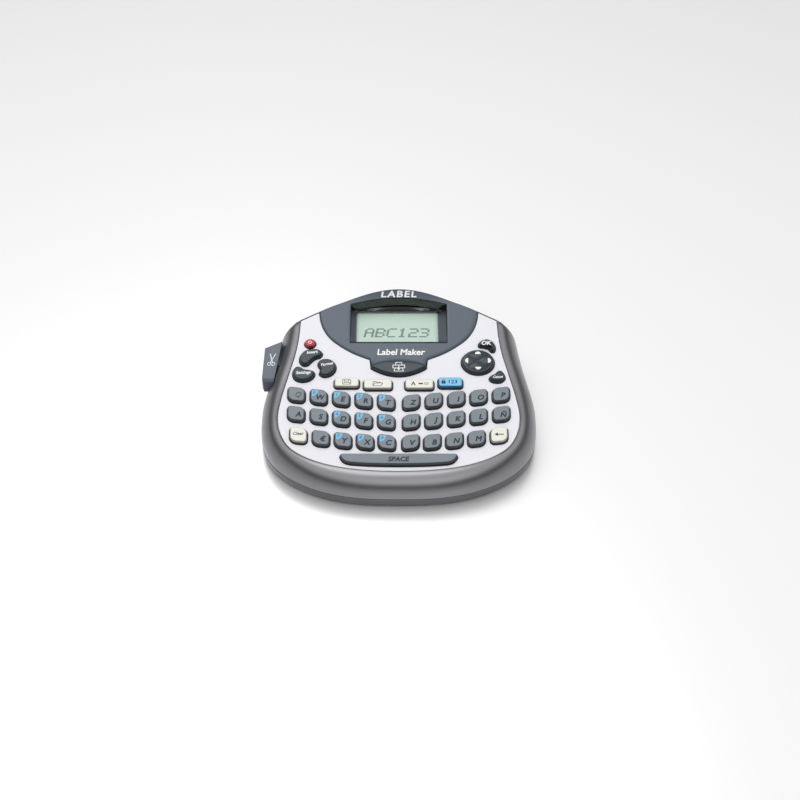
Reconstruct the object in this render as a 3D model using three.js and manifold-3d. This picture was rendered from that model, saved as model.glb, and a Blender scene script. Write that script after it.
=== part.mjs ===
// Desktop label maker with a full keyboard, millimetres, +Z up, front edge toward -Y.
import * as THREE from 'three';
import { mergeVertices } from 'three/addons/utils/BufferGeometryUtils.js';
import Module from 'manifold-3d';

const wasm = await Module();
wasm.setup();

// ---- driving dimensions ----
const TILT = THREE.MathUtils.degToRad(11); // slope of the keypad plate, rising to the rear
const PLATE_Z = 33.6; // height of the plate's outer face above the table at y = 0
const BODY_FRONT = -66.8; // foremost and rearmost points of the body
const BODY_REAR = 86.0;
const GIRTH_Z = 10; // height where the body is widest
const PART_Z = 8.0; // lower edge of the upper shell
const PART_GAP = 0.4; // shadow gap between the two shells
const WALL = 2.2; // shell wall
const FLOOR_Z = 2.0; // underside of the base
const FLOOR_T = 2.0;
const RIM_Z = 0.8; // lower edge of the rim that surrounds the recessed floor
const PLATE_T = 2.0; // keypad plate
const FIT = 0.3; // gap left between parts that touch or are let into each other
const SIDE_STATIONS = 25; // samples along each half of a body outline, front and side part
const REAR_STATIONS = 8; // samples along each half of the rear part
const KEY_RISE = 3.0; // key top above the plate
const KEY_TRAVEL = 1.2; // stroke of every key
const FLANGE = 0.7; // retaining flange round the foot of a key
const NARROW_FLANGE = 0.35; // the same on buttons set close together
const LCD_Z = 41.6; // ledge on which the display window sits
const RIDGE_BULGE = 4.8; // extra height of the bezel at the middle of its rear ridge

// ---- colours ----
const SILVER = 0x9a9b9d;
const DARK_PANEL = 0x57616d;
const WHITE = 0xf2f2f4;
const KEY_GREY = 0x7d868e;
const IVORY = 0xebebe1;
const BLUE = 0x7dc8eb;
const TEAL = 0x35454e;
const RED = 0xbe1e32;

function material(color, roughness, metalness = 0) {
  return new THREE.MeshStandardMaterial({ color, roughness, metalness });
}

const model = new THREE.Group();
model.name = 'label_maker';
const body = new THREE.Group(); // everything, moved so the footprint is centred on the origin
body.name = 'body_frame';
body.position.set(0, -(BODY_FRONT + BODY_REAR) / 2, 0);
model.add(body);
const deck = new THREE.Group(); // the sloping plane of the keypad plate, its local z = 0 is the outer face
deck.name = 'keypad_deck';
deck.position.set(0, 0, PLATE_Z);
deck.rotation.x = TILT;
body.add(deck);

function addPart(parent, name, geometry, mat) {
  const mesh = new THREE.Mesh(geometry, mat);
  mesh.name = name;
  parent.add(mesh);
  return mesh;
}

// ---- geometry helpers ----
const deckZ = (y) => PLATE_Z + Math.tan(TILT) * y;

// Solid through a list of equal-length rings of [x, y, z]; capped at both ends unless it closes on itself.
function loft(rings, loop = false) {
  const n = rings[0].length;
  const position = rings.flat(2);
  const index = [];
  const bands = loop ? rings.length : rings.length - 1;
  for (let r = 0; r < bands; r += 1) {
    const a = r * n;
    const b = ((r + 1) % rings.length) * n;
    for (let i = 0; i < n; i += 1) {
      const j = (i + 1) % n;
      index.push(a + i, a + j, b + j, a + i, b + j, b + i);
    }
  }
  if (!loop) {
    const first = rings[0].map((p) => new THREE.Vector2(p[0], p[1]));
    for (const [i, j, k] of THREE.ShapeUtils.triangulateShape(first, [])) {
      index.push(i, k, j);
    }
    const last = rings[rings.length - 1].map((p) => new THREE.Vector2(p[0], p[1]));
    const offset = (rings.length - 1) * n;
    for (const [i, j, k] of THREE.ShapeUtils.triangulateShape(last, [])) {
      index.push(offset + i, offset + j, offset + k);
    }
  }
  const geometry = new THREE.BufferGeometry();
  geometry.setAttribute('position', new THREE.Float32BufferAttribute(position, 3));
  geometry.setIndex(index);
  return geometry;
}

// Moves every point of a closed counter-clockwise outline outward by d.
function grow(outline, d) {
  const n = outline.length;
  return outline.map(([x, y], i) => {
    const [px, py] = outline[(i + n - 1) % n];
    const [qx, qy] = outline[(i + 1) % n];
    const before = new THREE.Vector2(y - py, px - x).normalize();
    const after = new THREE.Vector2(qy - y, x - qx).normalize();
    const miter = before.clone().add(after).normalize();
    const reach = d / Math.max(miter.dot(after), 0.5);
    return [x + miter.x * reach, y + miter.y * reach];
  });
}

function mirrored(half) {
  const left = half.slice(1, -1).reverse().map(([x, y]) => [-x, y]);
  return [...half, ...left];
}

// Evenly spaced samples of a smooth curve through the given points.
function along(points, count) {
  const knots = points.map(([x, y]) => new THREE.Vector3(x, y, 0));
  const curve = new THREE.CatmullRomCurve3(knots, false, 'centripetal');
  return Array.from({ length: count }, (_, i) => {
    const p = curve.getPoint(i / (count - 1));
    return [p.x, p.y];
  });
}

function atHeight(outline, z) {
  return outline.map(([x, y]) => [x, y, typeof z === 'function' ? z(x, y) : z]);
}

// An outline lying on the keypad deck, moved along the deck's normal.
function onNormal(outline, rise) {
  return outline.map(([x, y]) => [x, y - rise * Math.sin(TILT), deckZ(y) + rise * Math.cos(TILT)]);
}

function box(x0, x1, y0, y1, z0, z1) {
  const geometry = new THREE.BoxGeometry(x1 - x0, y1 - y0, z1 - z0);
  geometry.translate((x0 + x1) / 2, (y0 + y1) / 2, (z0 + z1) / 2);
  return geometry;
}

// Round bar between two points on a line parallel to an axis ('x', 'y' or 'z').
function rod(axis, radius, from, to, u, v, segments = 16) {
  const geometry = new THREE.CylinderGeometry(radius, radius, to - from, segments);
  if (axis === 'x') {
    geometry.rotateZ(-Math.PI / 2);
    geometry.translate((from + to) / 2, u, v);
  } else if (axis === 'y') {
    geometry.translate(u, (from + to) / 2, v);
  } else {
    geometry.rotateX(Math.PI / 2);
    geometry.translate(u, v, (from + to) / 2);
  }
  return geometry;
}

function toSolid(geometry) {
  const bare = geometry.clone();
  bare.deleteAttribute('normal');
  bare.deleteAttribute('uv');
  const merged = mergeVertices(bare, 1e-5);
  return new wasm.Manifold(new wasm.Mesh({
    numProp: 3,
    vertProperties: new Float32Array(merged.attributes.position.array),
    triVerts: new Uint32Array(merged.index.array),
  }));
}

function toGeometry(solid) {
  const mesh = solid.getMesh();
  const geometry = new THREE.BufferGeometry();
  geometry.setAttribute('position', new THREE.BufferAttribute(new Float32Array(mesh.vertProperties), 3));
  geometry.setIndex(new THREE.BufferAttribute(new Uint32Array(mesh.triVerts), 1));
  return geometry;
}

function unite(first, ...others) {
  return others.reduce((sum, item) => sum.add(toSolid(item)), toSolid(first));
}

function extruded(outline, holes, depth) {
  const shape = new THREE.Shape(outline.map(([x, y]) => new THREE.Vector2(x, y)));
  shape.holes = holes.map((hole) => new THREE.Path(hole.map(([x, y]) => new THREE.Vector2(x, y))));
  return new THREE.ExtrudeGeometry(shape, { depth, bevelEnabled: false });
}

// ---- body outlines, right half from front centre to rear centre ----
const cosTilt = Math.cos(TILT);
// Rear ridge in plan: a shallow parabola behind the display, straight beyond its ends.
const RIDGE = { y: 77.6, halfWidth: 52.6, depth: 14.6, slope: 0.54 };
const arcY = (x) => {
  const beyond = Math.max(Math.abs(x) - RIDGE.halfWidth, 0);
  const within = Math.min(Math.abs(x), RIDGE.halfWidth) / RIDGE.halfWidth;
  return RIDGE.y - RIDGE.depth * within ** 2 - RIDGE.slope * beyond;
};
const plateSide = along([
  [0, -56.8], [26, -55.5], [45.3, -51.9], [59.9, -46.2], [69.7, -39.1], [75.2, -29.2], [77.2, -17],
  [75.6, -4], [70.8, 17], [67.6, 31], [65.8, 44], [65, 57.3],
], SIDE_STATIONS).map(([x, s]) => [x, s * cosTilt]);
const plateRear = Array.from({ length: REAR_STATIONS }, (_, i) => {
  const x = 65 * (1 - (i + 1) / REAR_STATIONS);
  return [x, arcY(x)];
});
const girthSide = along([
  [0, BODY_FRONT], [31, -65.0], [54, -58.5], [71, -48.5], [81.5, -37.5], [87.3, -25], [89.4, -9],
  [88.9, 5], [86.5, 18], [83.6, 33], [81.5, 46], [79.6, 57],
], SIDE_STATIONS);
const girthRear = along([
  [79.6, 57], [73.5, 69.5], [64, 77], [46, 82.5], [24, 85.2], [0, BODY_REAR],
], REAR_STATIONS + 1).slice(1);
const plateOutline = mirrored([...plateSide, ...plateRear]);
const girth = mirrored([...girthSide, ...girthRear]);

// ---- upper shell: silver rim, sides and rear ----
// Profile from an inner outline at its own height down to the girth: a quarter ellipse at the
// front and sides, nearly straight behind the rear ridge.
const ROUND_SIDE = 2;
const FLAT_REAR = 1.2;
const fullness = mirrored([
  ...plateSide.map((p, i) => [0, i === plateSide.length - 1 ? (ROUND_SIDE + FLAT_REAR) / 2 : ROUND_SIDE]),
  ...plateRear.map(() => [0, FLAT_REAR]),
]).map(([, power]) => 2 / power);

function flank(inner, outer, drop, angles) {
  return angles.map((degrees) => {
    const a = THREE.MathUtils.degToRad(degrees);
    return inner.map(([x, y], i) => {
      const [gx, gy] = outer[i];
      const top = deckZ(y) - drop;
      const across = Math.sin(a) ** fullness[i];
      const down = 1 - Math.max(Math.cos(a), 0) ** fullness[i];
      return [x + (gx - x) * across, y + (gy - y) * across, top - (top - GIRTH_Z) * down];
    });
  });
}
const rimOutline = grow(plateOutline, FIT);
const ledgeOutline = grow(plateOutline, -1.1);
const innerGirth = grow(girth, -WALL);
const outerFlank = flank(rimOutline, girth, 0, [0, 18, 36, 54, 72, 90]);
const innerFlank = flank(ledgeOutline, innerGirth, PLATE_T + FIT + 2, [0, 30, 60, 90]);
const shellRings = [
  atHeight(innerGirth, PART_Z),
  atHeight(girth, PART_Z),
  ...outerFlank.slice().reverse(),
  onNormal(rimOutline, -PLATE_T - FIT),
  onNormal(ledgeOutline, -PLATE_T - FIT),
  ...innerFlank,
];
const shellBlank = toSolid(loft(shellRings, true));

// Pocket in the left flank for the cutter lever, walled off from the inside.
const POCKET = { y0: 11.4, y1: 47.2, frontX: -81, rearX: -76.2, z0: 13, z1: 60, wall: 1.6 };

function pocketPrism(by, z0, z1) {
  const plan = [
    [-95, POCKET.y0 - by], [POCKET.frontX + by, POCKET.y0 - by],
    [POCKET.rearX + by, POCKET.y1 + by], [-95, POCKET.y1 + by],
  ];
  return toSolid(loft([atHeight(plan, z0), atHeight(plan, z1)]));
}
const flankSolid = toSolid(loft([atHeight(girth, PART_Z), ...outerFlank.slice().reverse()]));
const pocketWall = flankSolid.intersect(pocketPrism(POCKET.wall, POCKET.z0 - POCKET.wall, 31));
const pocketCut = pocketPrism(0, POCKET.z0, POCKET.z1);

// Opening at the rear for the cassette door.
const DOOR = { x: 45.6, z0: 8.4, z1: 43.6, pivotY: 84.7, pivotZ: 9.7 };
const rearBand = (side, z0, z1) => toSolid(box(-side, side, 60, 95, z0, z1));
const doorOpening = rearBand(DOOR.x + 0.4, PART_Z - 1, DOOR.z1 + 0.4);

// Slot through which the printed tape leaves, and the window for the lever's arm.
const tapeSlot = toSolid(box(-90, -70, 49.5, 60.5, 20.8, 23.8));
const armWindow = toSolid(box(-79, -70, 27.5, 42.5, 20, 32.5));

const topShell = shellBlank.add(pocketWall).subtract(pocketCut).subtract(doorOpening)
  .subtract(tapeSlot).subtract(armWindow);
addPart(body, 'top_shell', toGeometry(topShell), material(SILVER, 0.38, 0.55));

const doorLeaf = shellBlank.intersect(rearBand(DOOR.x, DOOR.z0, DOOR.z1));
let door = doorLeaf;
for (const x of [-36, 36]) {
  door = door.add(toSolid(rod('x', 1.25, x - 5, x + 5, DOOR.pivotY - 1.4, DOOR.pivotZ)));
}
addPart(body, 'cassette_door', toGeometry(door), material(DARK_PANEL, 0.42));

// ---- base shell: tray with a low rim, feet, ribs and the battery opening ----
const baseTop = PART_Z - PART_GAP;
const baseRings = [
  atHeight(grow(girth, -7.5), FLOOR_Z),
  atHeight(grow(girth, -6.2), RIM_Z),
  atHeight(grow(girth, -1.8), RIM_Z),
  atHeight(grow(girth, -0.8), RIM_Z + 0.5),
  atHeight(grow(girth, -0.3), RIM_Z + 1.6),
  atHeight(girth, baseTop),
  atHeight(innerGirth, baseTop),
  atHeight(grow(girth, -6), FLOOR_Z + FLOOR_T),
];
const BATTERY_HATCH = { x: 30, y0: -43, y1: 13 };
const FEET = [[-58, -34], [58, -34], [-54, 60], [54, 60]];
const FOOT_R = 6;
let base = toSolid(loft(baseRings));
for (const [x, y] of FEET) {
  base = base.add(toSolid(rod('z', FOOT_R, 0, FLOOR_Z + 1, x, y, 20)));
}
const ribs = [
  box(-33.6, -32, -35, 17, 3.5, 14), box(32, 33.6, -35, 17, 3.5, 14), // battery bay sides
  box(-33.6, 33.6, 17.6, 19.2, 3.5, 14), // battery bay rear
  box(-20, -18, 44, 63, 3.5, 7.4), box(28, 30, 44, 63, 3.5, 7.4), // cassette rests
  box(-62, -44, 24, 38, 3.5, 9.8), // motor bed
  box(-30.5, -29, 42.5, 44.2, 3.5, 30), box(37, 38.5, 42.5, 44.2, 3.5, 30), // cassette stops
  box(-46, -34, 45.6, 61.4, 3.5, 10.4), // printing mechanism bed
];
for (const rib of ribs) {
  base = base.add(toSolid(rib));
}
const opening = box(-BATTERY_HATCH.x, BATTERY_HATCH.x, BATTERY_HATCH.y0, BATTERY_HATCH.y1, 1, 5);
base = base.subtract(toSolid(opening));
addPart(body, 'base_shell', toGeometry(base), material(0x85868a, 0.42, 0.4));

// Sliding battery door: skin under the floor and two rails hooked over the sides of the opening.
const rails = [-1, 1].flatMap((side) => {
  const web = [side * 28.4, side * 29.7].sort((a, b) => a - b);
  const lip = [side * 28.4, side * 31.6].sort((a, b) => a - b);
  return [box(web[0], web[1], -30, 12, 1.2, 5.2), box(lip[0], lip[1], -30, 12, 4.3, 5.2)];
});
const hatch = unite(box(-33, 33, -46, 16, 0.6, 1.7), ...rails, box(-28, 28, -30, 12, 1.2, 3.6));
addPart(body, 'battery_door', toGeometry(hatch), material(0x6a6c70, 0.5));

// ---- keys ----
// Rounded outline; radii start at the lower left corner and run counter-clockwise.
function roundedBox(width, length, radii, perCorner = 3) {
  const w = width / 2;
  const l = length / 2;
  const corners = [[-w, -l, 180], [w, -l, 270], [w, l, 0], [-w, l, 90]];
  return corners.flatMap(([x, y, start], c) => {
    const r = radii[c];
    const cx = x - Math.sign(x) * r;
    const cy = y - Math.sign(y) * r;
    return Array.from({ length: perCorner }, (_, i) => {
      const a = THREE.MathUtils.degToRad(start + (90 * i) / (perCorner - 1));
      return [cx + r * Math.cos(a), cy + r * Math.sin(a)];
    });
  });
}

// Smooth closed outline through a few points, with the given number of samples.
function blob(points, count = 18) {
  const corners = points.map(([x, y]) => new THREE.Vector3(x, y, 0));
  const curve = new THREE.CatmullRomCurve3(corners, true, 'centripetal');
  return Array.from({ length: count }, (_, i) => {
    const p = curve.getPoint(i / count);
    return [p.x, p.y];
  });
}

function ellipse(cx, cy, a, b, count) {
  return Array.from({ length: count }, (_, i) => {
    const t = (2 * Math.PI * i) / count;
    return [cx + a * Math.cos(t), cy + b * Math.sin(t)];
  });
}

// Two shallow arcs meeting in blunt tips.
function lens(halfWidth, tip, top, bottom) {
  const steps = [-1, -0.72, -0.4, 0, 0.4, 0.72, 1];
  const low = steps.map((t) => [t * halfWidth, tip - 0.8 + (bottom - tip + 0.8) * (1 - t * t)]);
  const high = steps.map((t) => [t * halfWidth, tip + 0.8 + (top - tip - 0.8) * (1 - t * t)]);
  return [...low, ...high.reverse()];
}

const move = (outline, dx, dy) => outline.map(([x, y]) => [x + dx, y + dy]);

// Body of one key: flange under the plate, straight skirt, chamfered top.
function keySolid(outline, rise, chamfer, flange = FLANGE) {
  const under = -PLATE_T - 0.4;
  return loft([
    atHeight(grow(outline, flange), under - 0.9),
    atHeight(grow(outline, flange), under),
    atHeight(outline, under),
    atHeight(outline, rise - chamfer),
    atHeight(grow(outline, -chamfer), rise),
  ]);
}

const greyKey = material(KEY_GREY, 0.5);
const ivoryKey = material(IVORY, 0.4);
const blueKey = material(BLUE, 0.4);
const tealKey = material(TEAL, 0.35);
const redKey = material(RED, 0.25);
const keyHoles = [];

function addKey(name, outline, mat, rise = KEY_RISE, chamfer = 0.9, flange = FLANGE) {
  keyHoles.push(grow(outline, 0.35));
  addPart(deck, name, keySolid(outline, rise, chamfer, flange), mat);
}

// Letter keys: columns from the outer edge to the middle, each row bowed toward the front at its centre.
const KEY_W = 11.5;
const KEY_L = 11.3;
const KEY_SKEW = 0.12; // slope of the keys' cross edges, falling toward the middle
const ROWS = [
  {
    x: [65.8, 51.4, 37, 22.5, 8], y: [-1.4, -3.2, -4.6, -5.9, -7.1],
    left: ['q', 'w', 'e', 'r', 't'], right: ['p', 'o', 'i', 'u', 'z'],
  },
  {
    x: [65.5, 51, 36.6, 22.2, 7.9], y: [-15.9, -17.8, -19.4, -20.8, -21.8],
    left: ['a', 's', 'd', 'f', 'g'], right: ['n_tilde', 'l', 'k', 'j', 'h'],
  },
  {
    x: [63.5, 49.2, 35.2, 21.2, 7.5], y: [-31.8, -34, -35.5, -36.6, -37],
    left: ['clear', 'euro', 'y', 'x', 'c'], right: ['backspace', 'm', 'n', 'b', 'v'],
  },
];
const LEFT_RADII = [4.2, 3.2, 4.0, 2.2];
const RIGHT_RADII = [3.2, 4.2, 2.2, 4.0];
const PALE = ['clear', 'backspace'];

function addLetterKey(label, radii, x, y) {
  const slope = Math.sign(x) * KEY_SKEW;
  const skewed = roundedBox(KEY_W, KEY_L, radii).map(([u, v]) => [u, v + slope * u]);
  const outline = move(skewed, x, y);
  addKey(`key_${label}`, outline, PALE.includes(label) ? ivoryKey : greyKey);
}

for (const row of ROWS) {
  for (let i = 0; i < row.x.length; i += 1) {
    addLetterKey(row.left[i], LEFT_RADII, -row.x[i], row.y[i]);
    addLetterKey(row.right[i], RIGHT_RADII, row.x[i], row.y[i]);
  }
}

const spaceBar = [
  [-30.5, -52.5], [-20, -53.3], [0, -53.7], [20, -53.3], [30.5, -52.5], [33.4, -51.7],
  [36, -49.4], [37, -46.9], [36.4, -45.2], [-36.4, -45.2], [-37, -46.9], [-36, -49.4], [-33.4, -51.7],
];
addKey('key_space', spaceBar, greyKey);

const FUNCTION_KEYS = [
  ['key_save', -33.6, 7.5, 16.5, 7.6, ivoryKey], ['key_open', -13.5, 6.3, 19, 8, ivoryKey],
  ['key_case', 13.3, 6.3, 19, 8, ivoryKey], ['key_numlock', 33.4, 7.7, 16.2, 8, blueKey],
];
for (const [name, x, y, width, length, mat] of FUNCTION_KEYS) {
  addKey(name, move(roundedBox(width, length, [2.2, 2.2, 2.2, 2.2]), x, y), mat);
}

// Buttons of free outline: three menu buttons in a ring, and two hugging the navigation pad.
const FREE_BUTTONS = {
  button_insert: [
    [-62.5, 21.5], [-59.4, 21.7], [-57, 24.2], [-54.6, 26.5], [-51.3, 27.9], [-49.9, 30.4],
    [-51.6, 33], [-56.3, 34], [-61.2, 32.7], [-64.4, 28.8], [-64.6, 24.2],
  ],
  button_format: [
    [-49.3, 12.8], [-45.4, 13.2], [-41.9, 16], [-40.8, 20.2], [-42.3, 23.9], [-45.7, 26],
    [-50, 25.7], [-52.4, 23.9], [-52.6, 21.4], [-51, 18.4], [-51.6, 14.8],
  ],
  button_settings: [
    [-67, 10.4], [-62.8, 8.9], [-57.6, 10.1], [-54.9, 13], [-54.8, 16.1], [-57.6, 17.4],
    [-61.2, 18], [-64.1, 19.8], [-66.8, 19.9], [-68.6, 17.5], [-68.8, 13.8],
  ],
  button_ok: [
    [52.8, 36], [56.2, 35.6], [59, 34.5], [60.5, 32.3], [62.3, 32.1], [63.4, 35.1],
    [62.2, 39.2], [58, 41.5], [53.6, 40], [52.3, 37.8],
  ],
  button_cancel: [
    [59.4, 9.5], [62.7, 8.3], [66.7, 8.8], [68.9, 11.6], [68.3, 15], [66.3, 16.9],
    [64.4, 16.8], [62.6, 14.7], [60.1, 13.5], [58.6, 11.6],
  ],
};
for (const [name, points] of Object.entries(FREE_BUTTONS)) {
  addKey(name, blob(points), tealKey, KEY_RISE, 0.9, NARROW_FLANGE);
}
addKey('button_power', ellipse(-58.2, 38.7, 3.7, 3.4, 12), redKey, 2.4, 0.9);

const NAV = { x: 51.6, y: 23.8, a: 10.8, b: 9.4 };
addKey('nav_pad', ellipse(NAV.x, NAV.y, NAV.a, NAV.b, 24), tealKey, 2.8, 0.8, NARROW_FLANGE);

const printOutline = lens(18, 20.2, 24.7, 13.2);
addPart(deck, 'button_print', keySolid(printOutline, KEY_RISE, 0.9), tealKey);

// ---- dark oval bezel round the display ----
const aboutPrint = [[0, 25.2], [6, 24.75], [11, 23.7], [15, 22.5], [17.4, 21.6]]; // hugs the print button
const ovalSide = along([
  [18.8, 26.5], [22.4, 28], [30, 31.6], [38.8, 37.5], [45.2, 43.4], [49.8, 51.1], [52.1, 59], [52.6, 64.2],
], 10);
const bezelHalf = [...aboutPrint, ...ovalSide].map(([x, s]) => [x, s * cosTilt]);
const bezelRear = [0.82, 0.62, 0.4, 0.2, 0].map((t) => [52.6 * t, arcY(52.6 * t)]);
const bezelOutline = mirrored([...bezelHalf.slice(0, -1), [52.6, arcY(52.6)], ...bezelRear]);
const bezelTop = (x, y) => {
  const back = Math.max((y - 66) / (arcY(0) - 66), 0);
  return deckZ(y) + 1.3 + RIDGE_BULGE * Math.min(back * back, 1) * (1 - (x / 60) ** 2);
};
// The recess and the window, sampled in the same directions as the outline.
const BEZEL_CENTRE = [0, 54];
function towards(outline, reach) {
  return outline.map(([x, y]) => {
    const dx = x - BEZEL_CENTRE[0];
    const dy = y - BEZEL_CENTRE[1];
    const k = reach(dx, dy);
    return [BEZEL_CENTRE[0] + dx * k, BEZEL_CENTRE[1] + dy * k];
  });
}
const toRectangle = (hx, front, rear) => (dx, dy) => Math.min(
  hx / Math.max(Math.abs(dx), 1e-6),
  (dy > 0 ? rear - BEZEL_CENTRE[1] : BEZEL_CENTRE[1] - front) / Math.max(Math.abs(dy), 1e-6),
);

// A rectangle in those samples, with the nearest sample of the ring moved onto each corner.
function rectangleRing(hx, front, rear) {
  const ring = towards(bezelOutline, toRectangle(hx, front, rear));
  for (const corner of [[-hx, front], [hx, front], [hx, rear], [-hx, rear]]) {
    const gaps = ring.map(([x, y]) => Math.hypot(x - corner[0], y - corner[1]));
    ring[gaps.indexOf(Math.min(...gaps))] = corner;
  }
  return ring;
}
const RECESS = { x: 32, y0: 38.1, y1: 68.5, arch: 4 };
const recess = rectangleRing(RECESS.x, RECESS.y0, RECESS.y1).map(([x, y]) => {
  const rearShare = Math.max((y - 60) / (RECESS.y1 - 60), 0);
  return [x, y + RECESS.arch * (1 - (x / RECESS.x) ** 2) * rearShare];
});
const WINDOW = { x: 27, shift: -1, y0: 38.8, y1: 69 };
const windowEdge = move(rectangleRing(WINDOW.x, WINDOW.y0, WINDOW.y1), WINDOW.shift, 0);
const bezelSkirt = onNormal(bezelOutline, 0.5).map(([x, y], i) => {
  const [bx, by] = bezelOutline[i];
  return [x, y, bezelTop(bx, by) - 0.8];
});
const bezelRings = [
  onNormal(bezelOutline, -PLATE_T),
  bezelSkirt,
  atHeight(grow(bezelOutline, -1), bezelTop),
  atHeight(recess, bezelTop),
  atHeight(towards(recess, () => 0.985), LCD_Z),
  atHeight(windowEdge, LCD_Z),
  atHeight(windowEdge, LCD_Z - 0.9),
  atHeight(towards(recess, () => 1.03), LCD_Z - 0.9),
  onNormal(grow(bezelOutline, -2.4), -PLATE_T),
];
addPart(body, 'display_bezel', loft(bezelRings, true), material(DARK_PANEL, 0.4));
const pane = extruded(grow(windowEdge, -FIT), [], 1.2);
pane.translate(0, 0, LCD_Z - 1.5);
addPart(body, 'display_window', pane, material(0xbfd5c8, 0.08));
addPart(body, 'lcd_module', box(-30, 28, 38.2, 69.3, 36.4, 39.6), material(0x3a4a44, 0.5));

// ---- white keypad plate with its openings ----
const notch = grow(bezelOutline, FIT).filter(([x, y]) => y < arcY(x) - 1.2);
const notchRight = notch.filter(([x, y]) => x > 17 && y > 25).sort((p, q) => q[1] - p[1]);
const notchLeft = notchRight.slice().reverse().map(([x, y]) => [-x, y]);
const onDeck = ([x, y]) => [x, y / cosTilt];
const printHole = grow(printOutline, 0.35);
const printFront = printHole.slice(0, 7).reverse();
const sides = plateOutline.map(onDeck);
const rightEdge = sides.filter(([x], i) => i < sides.length / 2 && !(x < 53.2 && i >= plateSide.length));
const leftEdge = rightEdge.slice(1).reverse().map(([x, y]) => [-x, y]);
const cornerY = arcY(53.1) / cosTilt;
const plateShape = [
  ...rightEdge, [53.1, cornerY], ...notchRight.map(onDeck),
  [18.35, 21.4], ...printFront, [-18.35, 21.4],
  ...notchLeft.map(onDeck), [-53.1, cornerY], ...leftEdge,
];
const plate = extruded(plateShape, keyHoles, PLATE_T);
plate.translate(0, 0, -PLATE_T);
addPart(deck, 'keypad_plate', plate, material(WHITE, 0.18));

// ---- circuit board under the keys ----
const boardOutline = [
  [-52, -47], [52, -47], [66, -36], [70, -20], [66, 6], [61, 16], [60, 42], [37, 42], [37, 33],
  [-37, 33], [-37, 42], [-60, 42], [-61, 16], [-66, 6], [-70, -20], [-66, -36],
];
const board = extruded(boardOutline, [], 1.2);
board.translate(0, 0, -6);
addPart(deck, 'circuit_board', board, material(0x1f5a35, 0.55));

// ---- tape cutter ----
const leverPlan = [
  [-81.8, 12.6], [-77.2, 44.6], [-88.4, 39.3], [-89.4, 16.4], [-88, 12.6],
];
const leverProfile = [[13.4, 21.5], [46, 21.5], [46, 37.5], [16.2, 31.2], [14.6, 29.6]]; // y, z
const leverSide = loft([-92, -74].map((x) => leverProfile.map(([y, z]) => [y, z, x])));
leverSide.applyMatrix4(new THREE.Matrix4().set(0, 0, 1, 0, 1, 0, 0, 0, 0, 1, 0, 0, 0, 0, 0, 1));
const leverColumn = loft([atHeight(leverPlan, 20), atHeight(leverPlan, 40)]);
const leverHead = toSolid(leverColumn).intersect(toSolid(leverSide));
const leverArm = toSolid(box(-82, -69.3, 28.5, 41.5, 25.5, 31.5));
addPart(body, 'cutter_lever', toGeometry(leverHead.add(leverArm)), material(0x646c78, 0.45));
const bladeProfile = [[28.5, 25.5], [46, 25.6], [59.5, 24.2], [59.5, 27], [44, 31.5], [28.5, 31.5]];
const blade = extruded(bladeProfile, [], 0.8);
blade.rotateY(Math.PI / 2);
blade.rotateX(Math.PI / 2);
blade.translate(-69.0, 0, 0);
addPart(body, 'cutter_blade', blade, material(0xc4c7cb, 0.25, 0.9));

// ---- tape drive ----
const ROLLER = { x: -40, z: 17.3, r: 4.5 };
const GEAR_MODULE = 1;
const ROLLER_TEETH = 16;
const PINION_TEETH = 10;
const GEAR_Y = [40.6, 43.6];

function gearOutline(teeth, phase) {
  const r = (teeth * GEAR_MODULE) / 2;
  const step = (2 * Math.PI) / teeth;
  return Array.from({ length: teeth * 4 }, (_, i) => {
    const corner = i % 4;
    const centre = Math.floor(i / 4) * step + phase;
    const offset = [-0.27, -0.13, 0.13, 0.27][corner] * step;
    const radius = corner === 0 || corner === 3 ? r - 1 : r + 0.6;
    return [radius * Math.cos(centre + offset), radius * Math.sin(centre + offset)];
  });
}

function gearY(teeth, phase, x, z, y0, y1) {
  const geometry = extruded(gearOutline(teeth, phase), [], y1 - y0);
  geometry.rotateX(Math.PI / 2);
  geometry.translate(x, y1, z);
  return geometry;
}

const roller = unite(
  gearY(ROLLER_TEETH, 0, ROLLER.x, ROLLER.z, ...GEAR_Y),
  rod('y', 1.5, 42, 62.6, ROLLER.x, ROLLER.z, 12),
  rod('y', ROLLER.r, 47.2, 60, ROLLER.x, ROLLER.z, 20),
);
addPart(body, 'platen_roller', toGeometry(roller), material(0x2b2d30, 0.8));

const MOTOR_X = ROLLER.x - ((ROLLER_TEETH + PINION_TEETH) * GEAR_MODULE) / 2;
const pinion = unite(
  gearY(PINION_TEETH, Math.PI / PINION_TEETH, MOTOR_X, ROLLER.z, ...GEAR_Y),
  rod('y', 1, 40.4, 44.6, MOTOR_X, ROLLER.z, 10),
);
addPart(body, 'motor_pinion', toGeometry(pinion), material(0xe8e4d8, 0.5));
addPart(body, 'feed_motor', rod('y', 7, 22, 40, MOTOR_X, ROLLER.z, 20), material(0xa8abb0, 0.35, 0.8));

const bracketParts = [
  box(-46, -34, 45.6, 46.8, 10.8, 31), box(-46, -34, 60.4, 61.6, 10.8, 31),
  box(-46, -34, 45.6, 61.6, 28, 31), box(-43, -37, 47, 60.2, 22.5, 29),
];
const shaftBore = toSolid(rod('y', 1.85, 44, 63, ROLLER.x, ROLLER.z, 12));
const bracket = unite(...bracketParts).subtract(shaftBore);
addPart(body, 'print_head', toGeometry(bracket), material(0xb9bcc0, 0.35, 0.7));

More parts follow.
